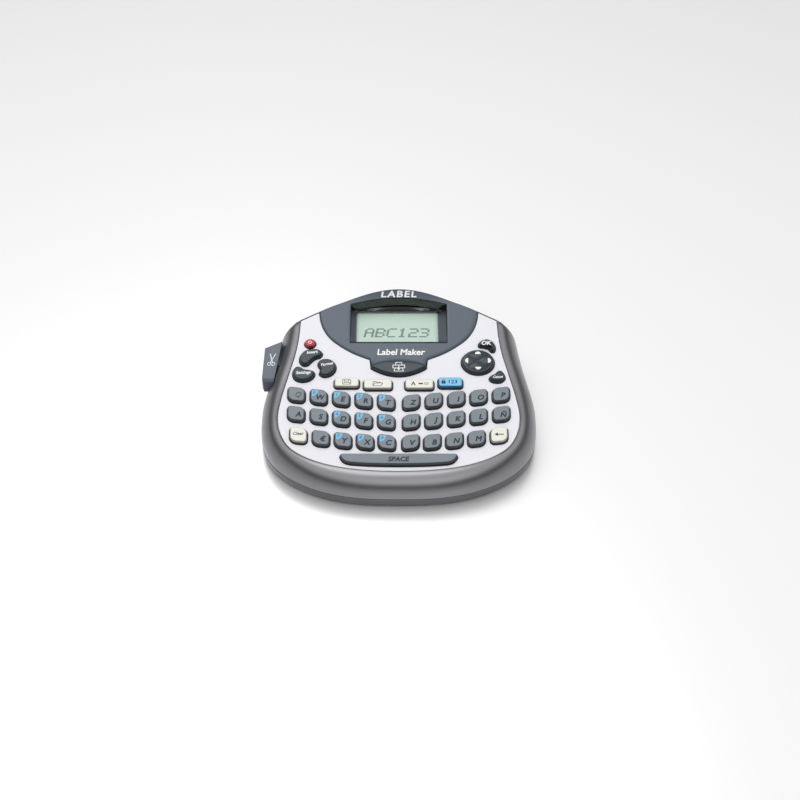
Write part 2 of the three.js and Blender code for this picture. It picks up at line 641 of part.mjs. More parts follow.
// ---- tape cassette ----
const CASSETTE = { x0: -28, x1: 36, y0: 45, y1: 62, z0: 7.8, z1: 35.8 };
const cassetteBox = extruded(
  move(roundedBox(CASSETTE.x1 - CASSETTE.x0, CASSETTE.z1 - CASSETTE.z0, [3, 3, 6, 6]),
    (CASSETTE.x0 + CASSETTE.x1) / 2, (CASSETTE.z0 + CASSETTE.z1) / 2),
  [], CASSETTE.y1 - CASSETTE.y0);
cassetteBox.rotateX(Math.PI / 2);
cassetteBox.translate(0, CASSETTE.y1, 0);
const SPOOLS = [{ x: 18, r: 5 }, { x: -10, r: 3.5 }]; // blind sockets of the tape and ribbon spools
let cassette = toSolid(cassetteBox);
for (const { x, r } of SPOOLS) {
  cassette = cassette.subtract(toSolid(rod('y', r, CASSETTE.y1 - 3, CASSETTE.y1 + 1, x, 21.8)));
}
addPart(body, 'tape_cassette', toGeometry(cassette), material(0xd9dde0, 0.4));

// ---- four AA cells side by side ----
const CELL = { r: 7.25, pitch: 14.6, length: 49, nub: 1.5, z: 12.9, y0: -34 };
const cells = [-1.5, -0.5, 0.5, 1.5].flatMap((k) => [
  rod('y', CELL.r, CELL.y0, CELL.y0 + CELL.length, k * CELL.pitch, CELL.z, 16),
  rod('y', 2.75, CELL.y0 + CELL.length - 1, CELL.y0 + CELL.length + CELL.nub, k * CELL.pitch, CELL.z, 10),
]);
const sleeve = box(-22, 22, CELL.y0 + 4, CELL.y0 + CELL.length - 4, CELL.z - 1, CELL.z + 1);
addPart(body, 'battery_pack', toGeometry(unite(sleeve, ...cells)), material(0x2f6f9f, 0.4, 0.2));

export default model;
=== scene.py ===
"""Desktop label maker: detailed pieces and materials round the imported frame."""
import math

import bmesh
import bpy
import mathutils.geometry
import numpy as np
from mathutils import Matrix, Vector


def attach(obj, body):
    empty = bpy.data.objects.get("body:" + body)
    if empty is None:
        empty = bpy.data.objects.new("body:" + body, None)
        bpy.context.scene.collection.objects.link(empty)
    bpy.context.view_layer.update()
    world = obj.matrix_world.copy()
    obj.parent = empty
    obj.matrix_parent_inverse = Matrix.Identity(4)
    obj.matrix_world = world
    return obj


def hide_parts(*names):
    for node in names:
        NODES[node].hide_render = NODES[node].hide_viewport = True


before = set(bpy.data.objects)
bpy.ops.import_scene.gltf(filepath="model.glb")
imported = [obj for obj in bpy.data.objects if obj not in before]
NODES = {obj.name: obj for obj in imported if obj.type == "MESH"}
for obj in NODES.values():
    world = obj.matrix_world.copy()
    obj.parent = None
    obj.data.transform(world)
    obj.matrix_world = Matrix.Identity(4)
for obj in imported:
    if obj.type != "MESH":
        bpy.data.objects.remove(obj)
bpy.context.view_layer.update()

# -------- dimensions, mm
MM = 0.001
SHIFT_Y = -9.6           # body frame to row frame
TILT = math.radians(11)
SIN, COS, TAN = math.sin(TILT), math.cos(TILT), math.tan(TILT)
PLATE_Z = 33.6
GIRTH_Z = 10.0
PART_Z = 8.0
HALF_WIDTH = 89.35
WALL = 2.2
PLATE_T = 2.0
LCD_Z = 41.6
RIDGE_BULGE = 4.1        # crest of the display bezel over the plate
KEY_RISE = 3.0
KEY_W, KEY_L = 11.5, 11.3
KEY_SKEW = 0.12          # slope of a key's front and rear edges
TEXT_T = 0.03            # half thickness of printed letters


def deck_z(y):
    return PLATE_Z + TAN * y


def deck_to_body(x, s, n):
    """Point given on the keypad deck (across, up the slope, out of it) in the body frame."""
    return (x, s * COS - n * SIN, PLATE_Z + s * SIN + n * COS)


def srgb(r, g, b):
    def lin(c):
        c /= 255
        return c / 12.92 if c <= 0.04045 else ((c + 0.055) / 1.055) ** 2.4
    return (lin(r), lin(g), lin(b), 1.0)


# -------- materials
def new_material(name, color, rough, metal, grain, grain_scale, mottle, rough_var, coat=0.0, wear=0.0,
                 alpha=1.0):
    """Moulded or painted surface: faint colour drift, uneven gloss, fine grain and rubbed edges."""
    mat = bpy.data.materials.new(name)
    mat.use_nodes = True
    tree = mat.node_tree
    bsdf = tree.nodes["Principled BSDF"]
    coord = tree.nodes.new("ShaderNodeTexCoord")
    drift = tree.nodes.new("ShaderNodeTexNoise")
    drift.inputs["Scale"].default_value = 38.0
    drift.inputs["Detail"].default_value = 3.0
    tree.links.new(coord.outputs["Object"], drift.inputs["Vector"])
    fine = tree.nodes.new("ShaderNodeTexNoise")
    fine.inputs["Scale"].default_value = grain_scale
    fine.inputs["Detail"].default_value = 2.0
    tree.links.new(coord.outputs["Object"], fine.inputs["Vector"])

    ramp = tree.nodes.new("ShaderNodeMix")
    ramp.data_type = "RGBA"
    dark = tuple(c * (1 - mottle) for c in color[:3]) + (1.0,)
    light = tuple(min(1.0, c * (1 + mottle)) for c in color[:3]) + (1.0,)
    ramp.inputs[6].default_value = dark
    ramp.inputs[7].default_value = light
    tree.links.new(drift.outputs["Fac"], ramp.inputs[0])
    shade = ramp.outputs[2]
    if wear > 0:
        geom = tree.nodes.new("ShaderNodeNewGeometry")
        edge = tree.nodes.new("ShaderNodeMapRange")
        edge.inputs["From Min"].default_value = 0.52
        edge.inputs["From Max"].default_value = 0.62
        edge.inputs["To Max"].default_value = wear
        tree.links.new(geom.outputs["Pointiness"], edge.inputs["Value"])
        rub = tree.nodes.new("ShaderNodeMix")
        rub.data_type = "RGBA"
        rub.inputs[7].default_value = tuple(min(1.0, c * 1.5 + 0.03) for c in color[:3]) + (1.0,)
        tree.links.new(edge.outputs["Result"], rub.inputs[0])
        tree.links.new(shade, rub.inputs[6])
        shade = rub.outputs[2]
    tree.links.new(shade, bsdf.inputs["Base Color"])

    gloss = tree.nodes.new("ShaderNodeMapRange")
    gloss.inputs["To Min"].default_value = max(0.02, rough - rough_var)
    gloss.inputs["To Max"].default_value = rough + rough_var
    tree.links.new(drift.outputs["Fac"], gloss.inputs["Value"])
    tree.links.new(gloss.outputs["Result"], bsdf.inputs["Roughness"])
    bump = tree.nodes.new("ShaderNodeBump")
    bump.inputs["Strength"].default_value = grain
    bump.inputs["Distance"].default_value = 0.00005
    tree.links.new(fine.outputs["Fac"], bump.inputs["Height"])
    tree.links.new(bump.outputs["Normal"], bsdf.inputs["Normal"])
    bsdf.inputs["Metallic"].default_value = metal
    bsdf.inputs["Coat Weight"].default_value = coat
    bsdf.inputs["Coat Roughness"].default_value = 0.06
    bsdf.inputs["Alpha"].default_value = alpha
    return mat


# key: name, colour, roughness, metal, grain, grain scale, mottle, roughness drift, coat, wear, alpha
FINISHES = {
    "silver": ("satin_silver", (146, 146, 149), 0.3, 0.85, 0.12, 5200, 0.025, 0.03, 0, 0.15),
    # base: the silver painted darker than the upper shell's, a painted dark reflection along its front
    "base": ("base_silver", (104, 105, 109), 0.36, 0.8, 0.15, 5200, 0.03, 0.04, 0, 0.12),
    "white": ("gloss_white", (224, 224, 231), 0.14, 0, 0.03, 900, 0.012, 0.03, 0.5),
    "panel": ("panel_blue_grey", (80, 90, 102), 0.36, 0.15, 0.2, 4200, 0.04, 0.04, 0, 0.12),
    # recess walls: a darker copy of the panel blue-grey, painted shade
    "panel_dark": ("panel_recess", (58, 65, 74), 0.34, 0.15, 0.2, 4200, 0.04, 0.04),
    "hood": ("hood_black", (14, 14, 16), 0.1, 0, 0.02, 700, 0.05, 0.03, 0.8),
    "key": ("key_grey", (124, 133, 141), 0.46, 0, 0.35, 5200, 0.03, 0.05, 0, 0.1),
    # grey key sides: a darker copy of the key grey, painted shade
    "key_side": ("key_side_grey", (70, 77, 84), 0.42, 0, 0.3, 5200, 0.04, 0.05),
    # near-black band round the foot of every key and button where it meets the plate: painted shade
    "skirt": ("key_skirt_black", (16, 17, 20), 0.32, 0, 0.2, 4000, 0.06, 0.05),
    "ivory": ("key_ivory", (236, 235, 224), 0.38, 0, 0.25, 5200, 0.02, 0.05),
    # ivory key sides: a darker copy of the ivory, painted shade
    "ivory_side": ("key_ivory_side", (176, 172, 160), 0.42, 0, 0.25, 5200, 0.03, 0.05),
    "blue": ("key_blue", (120, 196, 234), 0.34, 0, 0.25, 5200, 0.03, 0.05),
    # dark blue: digit print on the number patches, and a darker copy of the key blue as painted shade on the
    # blue key's sides
    "blue_side": ("key_blue_side", (44, 110, 160), 0.38, 0, 0.25, 5200, 0.04, 0.05),
    "teal": ("button_teal", (24, 42, 52), 0.24, 0, 0.2, 4200, 0.05, 0.05, 0, 0.1),
    "red": ("button_red", (186, 20, 42), 0.12, 0, 0.03, 900, 0.06, 0.03, 0.8),
    "navy": ("legend_navy", (22, 30, 48), 0.5, 0, 0.1, 3000, 0.08, 0.05),
    "ink_white": ("legend_white", (244, 246, 248), 0.45, 0, 0.1, 3000, 0.02, 0.05),
    "patch": ("number_patch", (112, 190, 232), 0.42, 0, 0.1, 3000, 0.03, 0.05),
    "lever": ("lever_blue_grey", (92, 100, 111), 0.4, 0.1, 0.3, 4200, 0.04, 0.05, 0, 0.15),
    "base_dark": ("hatch_grey", (98, 100, 105), 0.5, 0.2, 0.5, 3600, 0.04, 0.06),
    "lcd": ("lcd_green", (196, 220, 205), 0.32, 0, 0.08, 1800, 0.025, 0.04),
    "lcd_ink": ("lcd_segment", (88, 104, 102), 0.4, 0, 0.05, 1800, 0.04, 0.04),
    "pane": ("clear_pane", (225, 235, 230), 0.05, 0, 0.01, 600, 0.01, 0.01, 0, 0, 0.1),
    "seam": ("seam_grey", (92, 93, 96), 0.55, 0.2, 0.2, 3000, 0.08, 0.06),
    "gap": ("seam_dark", (26, 27, 29), 0.6, 0, 0.2, 3000, 0.1, 0.08),
    "rubber": ("foot_rubber", (38, 39, 41), 0.75, 0, 0.6, 3400, 0.1, 0.08),
    "board": ("solder_mask", (24, 84, 50), 0.35, 0, 0.3, 1500, 0.14, 0.08),
    "steel": ("ground_steel", (190, 192, 196), 0.26, 1.0, 0.3, 6000, 0.05, 0.08),
    "alu": ("cast_alloy", (172, 174, 178), 0.42, 0.9, 0.6, 2400, 0.06, 0.08),
    "roller": ("roller_rubber", (36, 37, 40), 0.7, 0, 0.5, 3600, 0.08, 0.08),
    "gear": ("gear_acetal", (226, 220, 206), 0.4, 0, 0.15, 2600, 0.04, 0.05),
    "cassette": ("cassette_grey", (206, 211, 214), 0.3, 0, 0.15, 2600, 0.03, 0.05),
    "cell": ("cell_sleeve", (40, 96, 148), 0.25, 0.3, 0.05, 1500, 0.06, 0.05, 0.4),
}
M = {key: new_material(name, srgb(*rgb), *rest) for key, (name, rgb, *rest) in FINISHES.items()}

# -------- mesh helpers
def finish_mesh(obj, sharp_deg=32.0):
    """Smooth faces with creases kept sharp."""
    bm = bmesh.new()
    bm.from_mesh(obj.data)
    bmesh.ops.remove_doubles(bm, verts=bm.verts, dist=2e-7)
    bmesh.ops.dissolve_degenerate(bm, edges=bm.edges, dist=1e-7)
    limit = math.radians(sharp_deg)
    for face in bm.faces:
        face.smooth = True
    for edge in bm.edges:
        edge.smooth = len(edge.link_faces) == 2 and edge.calc_face_angle(0) < limit
    bm.to_mesh(obj.data)
    bm.free()


def plain_object(name, verts, faces):
    """Object made from body-frame millimetres."""
    mesh = bpy.data.meshes.new(name)
    mesh.from_pydata([(x * MM, (y + SHIFT_Y) * MM, z * MM) for x, y, z in verts], [], faces)
    obj = bpy.data.objects.new(name, mesh)
    bpy.context.scene.collection.objects.link(obj)
    return obj


def make_object(name, verts, faces, mats, face_mats, body, slot, replaces=(), sharp=32.0):
    """Finished piece that rides on a body and stands in for CAD nodes."""
    obj = plain_object(name, verts, faces)
    for mat in mats:
        obj.data.materials.append(M[mat])
    obj.data.polygons.foreach_set("material_index", face_mats)
    finish_mesh(obj, sharp)
    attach(obj, body)
    if replaces:
        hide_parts(*replaces)
    return obj


class Builder:
    """Collects vertices and faces with a material index each."""

    def __init__(self, mats):
        self.mats = list(mats)
        self.verts, self.faces, self.index = [], [], []

    def add(self, verts, faces, mat=0):
        start = len(self.verts)
        self.verts.extend([tuple(map(float, v)) for v in verts])
        self.faces.extend([tuple(start + i for i in f) for f in faces])
        if isinstance(mat, int):
            self.index.extend([mat] * len(faces))
        else:
            self.index.extend(mat)

    def rings(self, rings, mats=0, loop=False, cap_start=True, cap_end=True):
        """Loft through equal rings; mats is one index or one per band."""
        n = len(rings[0])
        verts = [p for ring in rings for p in ring]
        faces, index = [], []
        bands = len(rings) if loop else len(rings) - 1
        if isinstance(mats, int):
            mats = [mats] * bands
        for r in range(bands):
            a, b = r * n, ((r + 1) % len(rings)) * n
            for i in range(n):
                j = (i + 1) % n
                faces.append((a + i, a + j, b + j, b + i))
                index.append(mats[r])
        if not loop and cap_start:
            faces.append(tuple(reversed(range(n))))
            index.append(mats[0])
        if not loop and cap_end:
            faces.append(tuple((len(rings) - 1) * n + i for i in range(n)))
            index.append(mats[-1])
        self.add(verts, faces, index)

    def make(self, name, **kw):
        return make_object(name, self.verts, self.faces, self.mats, self.index, **kw)


# -------- outline helpers
def blend(t, start, stop, a, b):
    return (stop - t) / (stop - start) * a + (t - start) / (stop - start) * b


def catmull(points, per):
    """Centripetal curve through points, `per` samples for each span, last point kept."""
    p = [np.array(q, float) for q in points]
    p = [2 * p[0] - p[1]] + p + [2 * p[-1] - p[-2]]
    out = []
    for i in range(1, len(p) - 2):
        p0, p1, p2, p3 = p[i - 1:i + 3]
        t0 = 0.0
        t1 = np.linalg.norm(p1 - p0) ** 0.5
        t2 = t1 + np.linalg.norm(p2 - p1) ** 0.5
        t3 = t2 + np.linalg.norm(p3 - p2) ** 0.5
        for t in np.linspace(t1, t2, per, endpoint=False):
            near = blend(t, t0, t2, blend(t, t0, t1, p0, p1), blend(t, t1, t2, p1, p2))
            far = blend(t, t1, t3, blend(t, t1, t2, p1, p2), blend(t, t2, t3, p2, p3))
            out.append(blend(t, t1, t2, near, far))
    out.append(p[-2])
    return np.array(out)


def half_curve(points, per):
    """Curve along half an outline that leaves the middle line square to it."""
    lead = [(-x, y) for x, y in points[1:3]][::-1]
    return catmull([*lead, *points], per)[2 * per:]


def mirrored(half):
    """Whole outline from its right half."""
    half = np.asarray(half, float)
    left = half[1:-1][::-1] * [-1, 1]
    return np.vstack([half, left])


def unit(vectors):
    return vectors / np.maximum(np.linalg.norm(vectors, axis=1, keepdims=True), 1e-9)


def grow(outline, d):
    """Outline moved outwards by d; inwards where d is negative."""
    o = np.asarray(outline, float)
    step = np.roll(o, -1, 0) - o
    after = unit(np.stack([step[:, 1], -step[:, 0]], 1))
    middle = unit(np.roll(after, 1, 0) + after)
    return o + middle * d / np.maximum((middle * after).sum(1, keepdims=True), 0.5)


def at_height(outline, z):
    return [(x, y, z(x, y) if callable(z) else z) for x, y in outline]


def on_normal(outline, rise):
    return [(x, y - rise * SIN, deck_z(y) + rise * COS) for x, y in outline]


def circle(cx, cy, r, count=16, start=0.0, stop=2 * math.pi, ry=None):
    return [(cx + r * math.cos(start + (stop - start) * i / count),
             cy + (ry or r) * math.sin(start + (stop - start) * i / count)) for i in range(count)]


def box_mesh(x0, x1, y0, y1, z0, z1):
    v = [(x, y, z) for z in (z0, z1) for y in (y0, y1) for x in (x0, x1)]
    f = [(0, 2, 3, 1), (4, 5, 7, 6), (0, 1, 5, 4), (2, 6, 7, 3), (0, 4, 6, 2), (1, 3, 7, 5)]
    return v, f


def apply_modifiers(obj):
    mesh = bpy.data.meshes.new_from_object(obj.evaluated_get(bpy.context.evaluated_depsgraph_get()))
    obj.modifiers.clear()
    old = obj.data
    obj.data = mesh
    bpy.data.meshes.remove(old)


def boolean(obj, tool, operation="DIFFERENCE"):
    """Applies one boolean with the tool and removes the tool."""
    mod = obj.modifiers.new("cut", "BOOLEAN")
    mod.object = tool
    mod.operation = operation
    mod.solver = "EXACT"
    apply_modifiers(obj)
    bpy.data.objects.remove(tool)


# -------- body outlines
BEZEL_HALF = 52.6
RIDGE_Y, RIDGE_DROP, RIDGE_SLOPE = 77.6, 14.6, 0.54


def arc_y(x):
    """Rear ridge in plan: a shallow parabola behind the display, straight beyond it."""
    share = min(abs(x) / BEZEL_HALF, 1)
    return RIDGE_Y - RIDGE_DROP * share ** 2 - RIDGE_SLOPE * max(abs(x) - BEZEL_HALF, 0)


PLATE_POINTS = [
    (0, -56.8), (26, -55.5), (45.3, -51.9), (59.9, -46.2), (69.7, -39.1), (75.2, -29.2), (77.2, -17),
    (75.6, -4), (70.8, 17), (67.6, 31), (65.8, 44), (65, 57.3),
]
GIRTH_POINTS = [
    (0, -66.8), (31, -65.0), (54, -58.5), (71, -48.5), (81.5, -37.5), (87.3, -25), (89.4, -9),
    (88.9, 5), (86.5, 18), (83.6, 33), (81.5, 46), (79.6, 57),
]
GIRTH_REAR = [(79.6, 57), (73.5, 69.5), (64, 77), (46, 82.5), (24, 85.2), (0, 86)]
PER = 8
plate_side = half_curve(PLATE_POINTS, PER) * [1, COS]
girth_side = half_curve(GIRTH_POINTS + GIRTH_REAR[1:2], PER)[:len(plate_side)]
rear_full = catmull(GIRTH_POINTS[-2:-1] + GIRTH_REAR + [(-24, 85.2)], PER)[PER:-PER]
rear_n = len(rear_full) - 1
PLATE_REAR_X = 65.0      # half width of the plate's rear edge
rear_x = [PLATE_REAR_X * (1 - i / rear_n) for i in range(1, rear_n + 1)]
plate_rear = np.array([(x, arc_y(x)) for x in rear_x])
plate_half = np.vstack([plate_side, plate_rear])
girth_half = np.vstack([girth_side, rear_full[1:]])
girth_half[:, 0] = np.minimum(girth_half[:, 0], HALF_WIDTH)
PLATE = mirrored(plate_half)
GIRTH = mirrored(girth_half)
RIM = grow(PLATE, 0.3)
LEDGE = grow(PLATE, -1.1)
GIRTH_IN = grow(GIRTH, -WALL)

# profile exponent: a quarter ellipse at the front and sides, nearly straight behind the ridge
power_half = np.array([2.0] * (len(plate_side) - 2) + [1.85, 1.6] + [1.2] * len(plate_rear))
POWER = mirrored(np.stack([np.zeros_like(power_half), power_half], 1))[:, 1]


def flank(inner, outer, drop, angles):
    """Rings down the curved side from the plate's edge to the girth."""
    rings = []
    for deg in angles:
        a = math.radians(deg)
        ring = []
        for (x, y), (gx, gy), power in zip(inner, outer, POWER):
            top = deck_z(y) - drop
            across = math.sin(a) ** (2 / power)
            down = 1 - max(math.cos(a), 0.0) ** (2 / power)
            ring.append((x + (gx - x) * across, y + (gy - y) * across, top - (top - GIRTH_Z) * down))
        rings.append(ring)
    return rings


# -------- upper shell
outer_flank = flank(RIM, GIRTH, 0, np.linspace(0, 90, 19))
lip = [(x, y - 0.25 * SIN, deck_z(y) + 0.25) for x, y in grow(RIM, 0.35)]
inner_flank = flank(LEDGE, GIRTH_IN, 4.3, np.linspace(0, 90, 7))
shell_rings = [
    at_height(GIRTH_IN, PART_Z), at_height(grow(GIRTH, -0.5), PART_Z), at_height(GIRTH, PART_Z + 0.3),
    *outer_flank[:0:-1], lip, on_normal(grow(RIM, 0.05), 0.05),
    on_normal(RIM, -PLATE_T - 0.3), on_normal(LEDGE, -PLATE_T - 0.3), *inner_flank,
]
# material of each band: the wall beside the plate and the parting line are darker
shell_mats = [0] * len(shell_rings)
shell_mats[len(outer_flank) + 3] = 1
shell_mats[0] = shell_mats[1] = 2

# openings and cuts in the shells as (x0, x1, y0, y1, z0, z1)
CASSETTE_BAY = (-46, 46, 60, 95, PART_Z - 1, 44)
DOOR_LIMITS = (-45.6, 45.6, 60, 95, 8.4, 43.6)
TAPE_EXIT = (-90, -70, 49.5, 60.5, 20.8, 23.8)
ARM_WINDOW = (-79, -70, 27.5, 42.5, 20, 32.5)
HATCH_OPENING = (-30, 30, -43, 13, 1, 5)
POCKET_FAR_X, POCKET_TOP, POCKET_WALL_TOP = -95, 60, 30.5
POCKET = {"y0": 11.4, "y1": 47.2, "front_x": -81.0, "rear_x": -76.2, "z0": 13.0, "wall": 1.6}


def pocket_prism(name, by, z0, z1):
    """The lever's pocket, made larger by `by`."""
    p = POCKET
    plan = [(POCKET_FAR_X, p["y0"] - by), (p["front_x"] + by, p["y0"] - by),
            (p["rear_x"] + by, p["y1"] + by), (POCKET_FAR_X, p["y1"] + by)]
    prism = Builder([])
    prism.rings([at_height(plan, z0), at_height(plan, z1)])
    return plain_object(name, prism.verts, prism.faces)


def build_shell():
    b = Builder(["silver", "seam", "gap"])
    b.rings(shell_rings, shell_mats, loop=True)
    obj = b.make("shell_upper", body="housing", slot="silver_plastic", replaces=["top_shell"])
    wall = pocket_prism("pocket_wall", POCKET["wall"], POCKET["z0"] - POCKET["wall"], POCKET_WALL_TOP)
    solid = Builder([])
    solid.rings([at_height(GIRTH, PART_Z), *outer_flank[::-1]])
    hull = plain_object("flank_solid", solid.verts, solid.faces)
    boolean(wall, hull, "INTERSECT")
    boolean(obj, wall, "UNION")
    boolean(obj, pocket_prism("pocket_cut", 0, POCKET["z0"], POCKET_TOP))
    boolean(obj, plain_object("bay", *box_mesh(*CASSETTE_BAY)))
    boolean(obj, plain_object("exit", *box_mesh(*TAPE_EXIT)))
    boolean(obj, plain_object("window", *box_mesh(*ARM_WINDOW)))
    finish_mesh(obj)


build_shell()


def build_door():
    """Rear door: the shell's own curve with an oval finger recess."""
    b = Builder(["panel"])
    b.rings(shell_rings, 0, loop=True)
    obj = b.make("door_rear", body="cassette_door", slot="panel_plastic", replaces=["cassette_door"])
    boolean(obj, plain_object("door_limits", *box_mesh(*DOOR_LIMITS)), "INTERSECT")
    recess_z = 36
    dish = Builder([])
    dish_sizes = ((90, 1.5), (80.4, 0.86), (79.6, 0.72))  # y of each ring and its share of full size
    oval = circle(0, 0, 14, 40, ry=4.6)
    dish.rings([[(x * k, y, recess_z + z * k) for x, z in oval] for y, k in dish_sizes])
    boolean(obj, plain_object("dish", dish.verts, dish.faces))
    finish_mesh(obj)


build_door()


# -------- lettering and icons
def word_mesh(words, size, depth, shear, spacing):
    """Filled letters thickened all round by depth, with their lowest and highest corners."""
    curve = bpy.data.curves.new("word", "FONT")
    curve.body = words
    curve.size = size
    curve.shear = shear
    curve.bevel_depth = depth
    curve.bevel_resolution = 0
    curve.space_character = spacing
    curve.resolution_u = 4
    curve.extrude = TEXT_T
    obj = bpy.data.objects.new("word", curve)
    bpy.context.scene.collection.objects.link(obj)
    mesh = bpy.data.meshes.new_from_object(obj.evaluated_get(bpy.context.evaluated_depsgraph_get()))
    bpy.data.objects.remove(obj)
    bpy.data.curves.remove(curve)
    points = np.array([v.co for v in mesh.vertices])
    return mesh, points.min(0), points.max(0)


def text_outline(words, size, bold=0.0, shear=0.0, spacing=1.0, slices=0, stretch=(1.0, 1.0)):
    """Centred word in millimetres as (points, faces). Slices let it follow a curved face."""
    thin, lo, hi = word_mesh(words, size, 0.0, shear, spacing)
    bpy.data.meshes.remove(thin)
    # the boldest weight that throws no spike at a sharp corner
    for share in (1.0, 0.8, 0.6, 0.4, 0.2, 0.0):
        depth = bold * size * share
        mesh, low, high = word_mesh(words, size, depth, shear, spacing)
        spread = 3 * depth + 0.01
        if (low[:2] > lo[:2] - spread).all() and (high[:2] < hi[:2] + spread).all():
            break
        bpy.data.meshes.remove(mesh)
    if slices:
        bm = bmesh.new()
        bm.from_mesh(mesh)
        for t in np.linspace(low[1], high[1], slices + 2)[1:-1]:
            geom = bm.verts[:] + bm.edges[:] + bm.faces[:]
            bmesh.ops.bisect_plane(bm, geom=geom, plane_co=(0, float(t), 0), plane_no=(0, 1, 0))
        bm.to_mesh(mesh)
        bm.free()
    mid = (low + high) / 2
    flatten = TEXT_T / (TEXT_T + depth)
    pts = [((v.co.x - mid[0]) * stretch[0], (v.co.y - mid[1]) * stretch[1], v.co.z * flatten)
           for v in mesh.vertices]
    faces = [tuple(f.vertices) for f in mesh.polygons]
    bpy.data.meshes.remove(mesh)
    return pts, faces


def add_text(b, words, size, place, mat, du=0.0, dv=0.0, **style):
    """Word centred at (du, dv); place turns (u, v, height) into a point."""
    pts, faces = text_outline(words, size, **style)
    b.add([place(x + du, y + dv, z + TEXT_T) for x, y, z in pts], faces, mat)


def add_prism(b, outline, place, mat, low=-0.02, high=0.06):
    """Thin raised polygon; the outline runs counter-clockwise."""
    n = len(outline)
    verts = [place(u, v, low) for u, v in outline] + [place(u, v, high) for u, v in outline]
    faces = [tuple(reversed(range(n))), tuple(range(n, 2 * n))]
    faces += [(i, (i + 1) % n, n + (i + 1) % n, n + i) for i in range(n)]
    b.add(verts, faces, mat)


def add_stroke(b, points, width, place, mat, closed=False):
    """Raised line of even width through points."""
    pts = list(points) + ([points[0]] if closed else [])
    for k, ((x0, y0), (x1, y1)) in enumerate(zip(pts[:-1], pts[1:])):
        length = math.hypot(x1 - x0, y1 - y0)
        ux, uy = (x1 - x0) / length, (y1 - y0) / length
        e = width * 0.5
        ex, ey = ux * e * 0.9, uy * e * 0.9
        px, py = -uy * e, ux * e
        add_prism(b, [(x0 - ex - px, y0 - ey - py), (x1 + ex - px, y1 + ey - py),
                      (x1 + ex + px, y1 + ey + py), (x0 - ex + px, y0 - ey + py)],
                  place, mat, -0.02, 0.055 + 0.003 * (k % 3))


def rectangle(cx, cy, w, h):
    return [(cx + sx * w / 2, cy + sy * h / 2) for sx, sy in ((-1, -1), (1, -1), (1, 1), (-1, 1))]


def icon_save(b, place, mat):
    case = [(-2.6, -1.8), (2.6, -1.8), (2.6, 1.2), (2.0, 1.9), (-2.6, 1.9)]
    add_stroke(b, case, 0.34, place, mat, closed=True)
    add_stroke(b, [(-1.5, 1.9), (-1.5, 0.6), (1.3, 0.6), (1.3, 1.9)], 0.3, place, mat)
    add_stroke(b, [(-1.7, -1.8), (-1.7, -0.4), (1.7, -0.4), (1.7, -1.8)], 0.3, place, mat)


def icon_open(b, place, mat):
    back = [(-3.1, -1.8), (-3.1, 1.5), (-1.4, 1.5), (-0.9, 0.9), (1.6, 0.9), (1.6, 0.2)]
    add_stroke(b, back, 0.34, place, mat)
    add_stroke(b, [(-3.1, -1.8), (-1.9, 0.3), (3.2, 0.3), (2.0, -1.8)], 0.34, place, mat, closed=True)


def icon_lock(b, place, mat):
    add_prism(b, rectangle(0, -0.6, 2.6, 2.0), place, mat)
    add_stroke(b, circle(0, 0.5, 0.85, 8, 0, math.pi * 1.14), 0.36, place, mat)


def icon_arrow(b, place, mat):
    add_prism(b, [(-3.0, 0), (-0.9, -1.3), (-0.9, 1.3)], place, mat)
    add_stroke(b, [(-1.0, 0), (2.7, 0)], 0.62, place, mat)


def icon_print(b, place, mat):
    add_stroke(b, [(-2.1, 1.2), (-1.7, 3.2), (1.7, 3.2), (2.1, 1.2)], 0.42, place, mat)
    add_stroke(b, [(-3.6, -0.9), (-3.6, 1.2), (3.6, 1.2), (3.6, -0.9)], 0.46, place, mat, closed=True)
    add_stroke(b, [(-2.2, -0.9), (-2.9, -3.2), (2.9, -3.2), (2.2, -0.9)], 0.42, place, mat, closed=True)
    add_stroke(b, [(0, 0.5), (0, -1.6)], 0.5, place, mat)
    add_prism(b, [(0, -2.6), (1.0, -1.4), (-1.0, -1.4)], place, mat)


def icon_scissors(b, place, mat):
    add_stroke(b, circle(-1.7, -3.9, 1.35, 14), 0.42, place, mat, closed=True)
    add_stroke(b, circle(1.7, -3.9, 1.35, 14), 0.42, place, mat, closed=True)
    add_stroke(b, [(-1.0, -2.8), (2.3, 5.0)], 0.6, place, mat)
    add_stroke(b, [(1.0, -2.8), (-2.3, 5.0)], 0.6, place, mat)


def icon_power(b, place, mat):
    add_stroke(b, circle(0, -0.15, 1.15, 10, math.radians(125), math.radians(415)), 0.34, place, mat)
    add_stroke(b, [(0, 0.2), (0, 1.4)], 0.36, place, mat)


# -------- keys
def rounded(w, length, radii, per=7):
    """Rectangle with its own radius at each corner, from the front left one round."""
    pts = []
    for (sx, sy, start), r in zip(((-1, -1, 180), (1, -1, 270), (1, 1, 0), (-1, 1, 90)), radii):
        cx, cy = sx * (w / 2 - r), sy * (length / 2 - r)
        for i in range(per):
            a = math.radians(start + 90 * i / (per - 1))
            pts.append((cx + r * math.cos(a), cy + r * math.sin(a)))
    return np.array(pts)


def smooth_loop(points, per=6):
    """Closed curve through points."""
    n = len(points)
    ext = [points[(i - 2) % n] for i in range(n + 5)]
    full = catmull(ext, per)
    return full[2 * per:(n + 2) * per]


def ellipse(a, b, count=72):
    return np.array(circle(0, 0, a, count, ry=b))


def lens_outline(half, tip, top, bottom, per=40):
    """Two shallow arcs that meet near the tips."""
    t = np.linspace(-1, 1, per)
    low = [(k * half, tip - 0.8 + (bottom - tip + 0.8) * (1 - k * k)) for k in t]
    high = [(k * half, tip + 0.8 + (top - tip - 0.8) * (1 - k * k)) for k in t[::-1]]
    return np.array(low + high)


HOLE_GAP = 0.35
FLAT_INSET = 1.75
HOLES = []
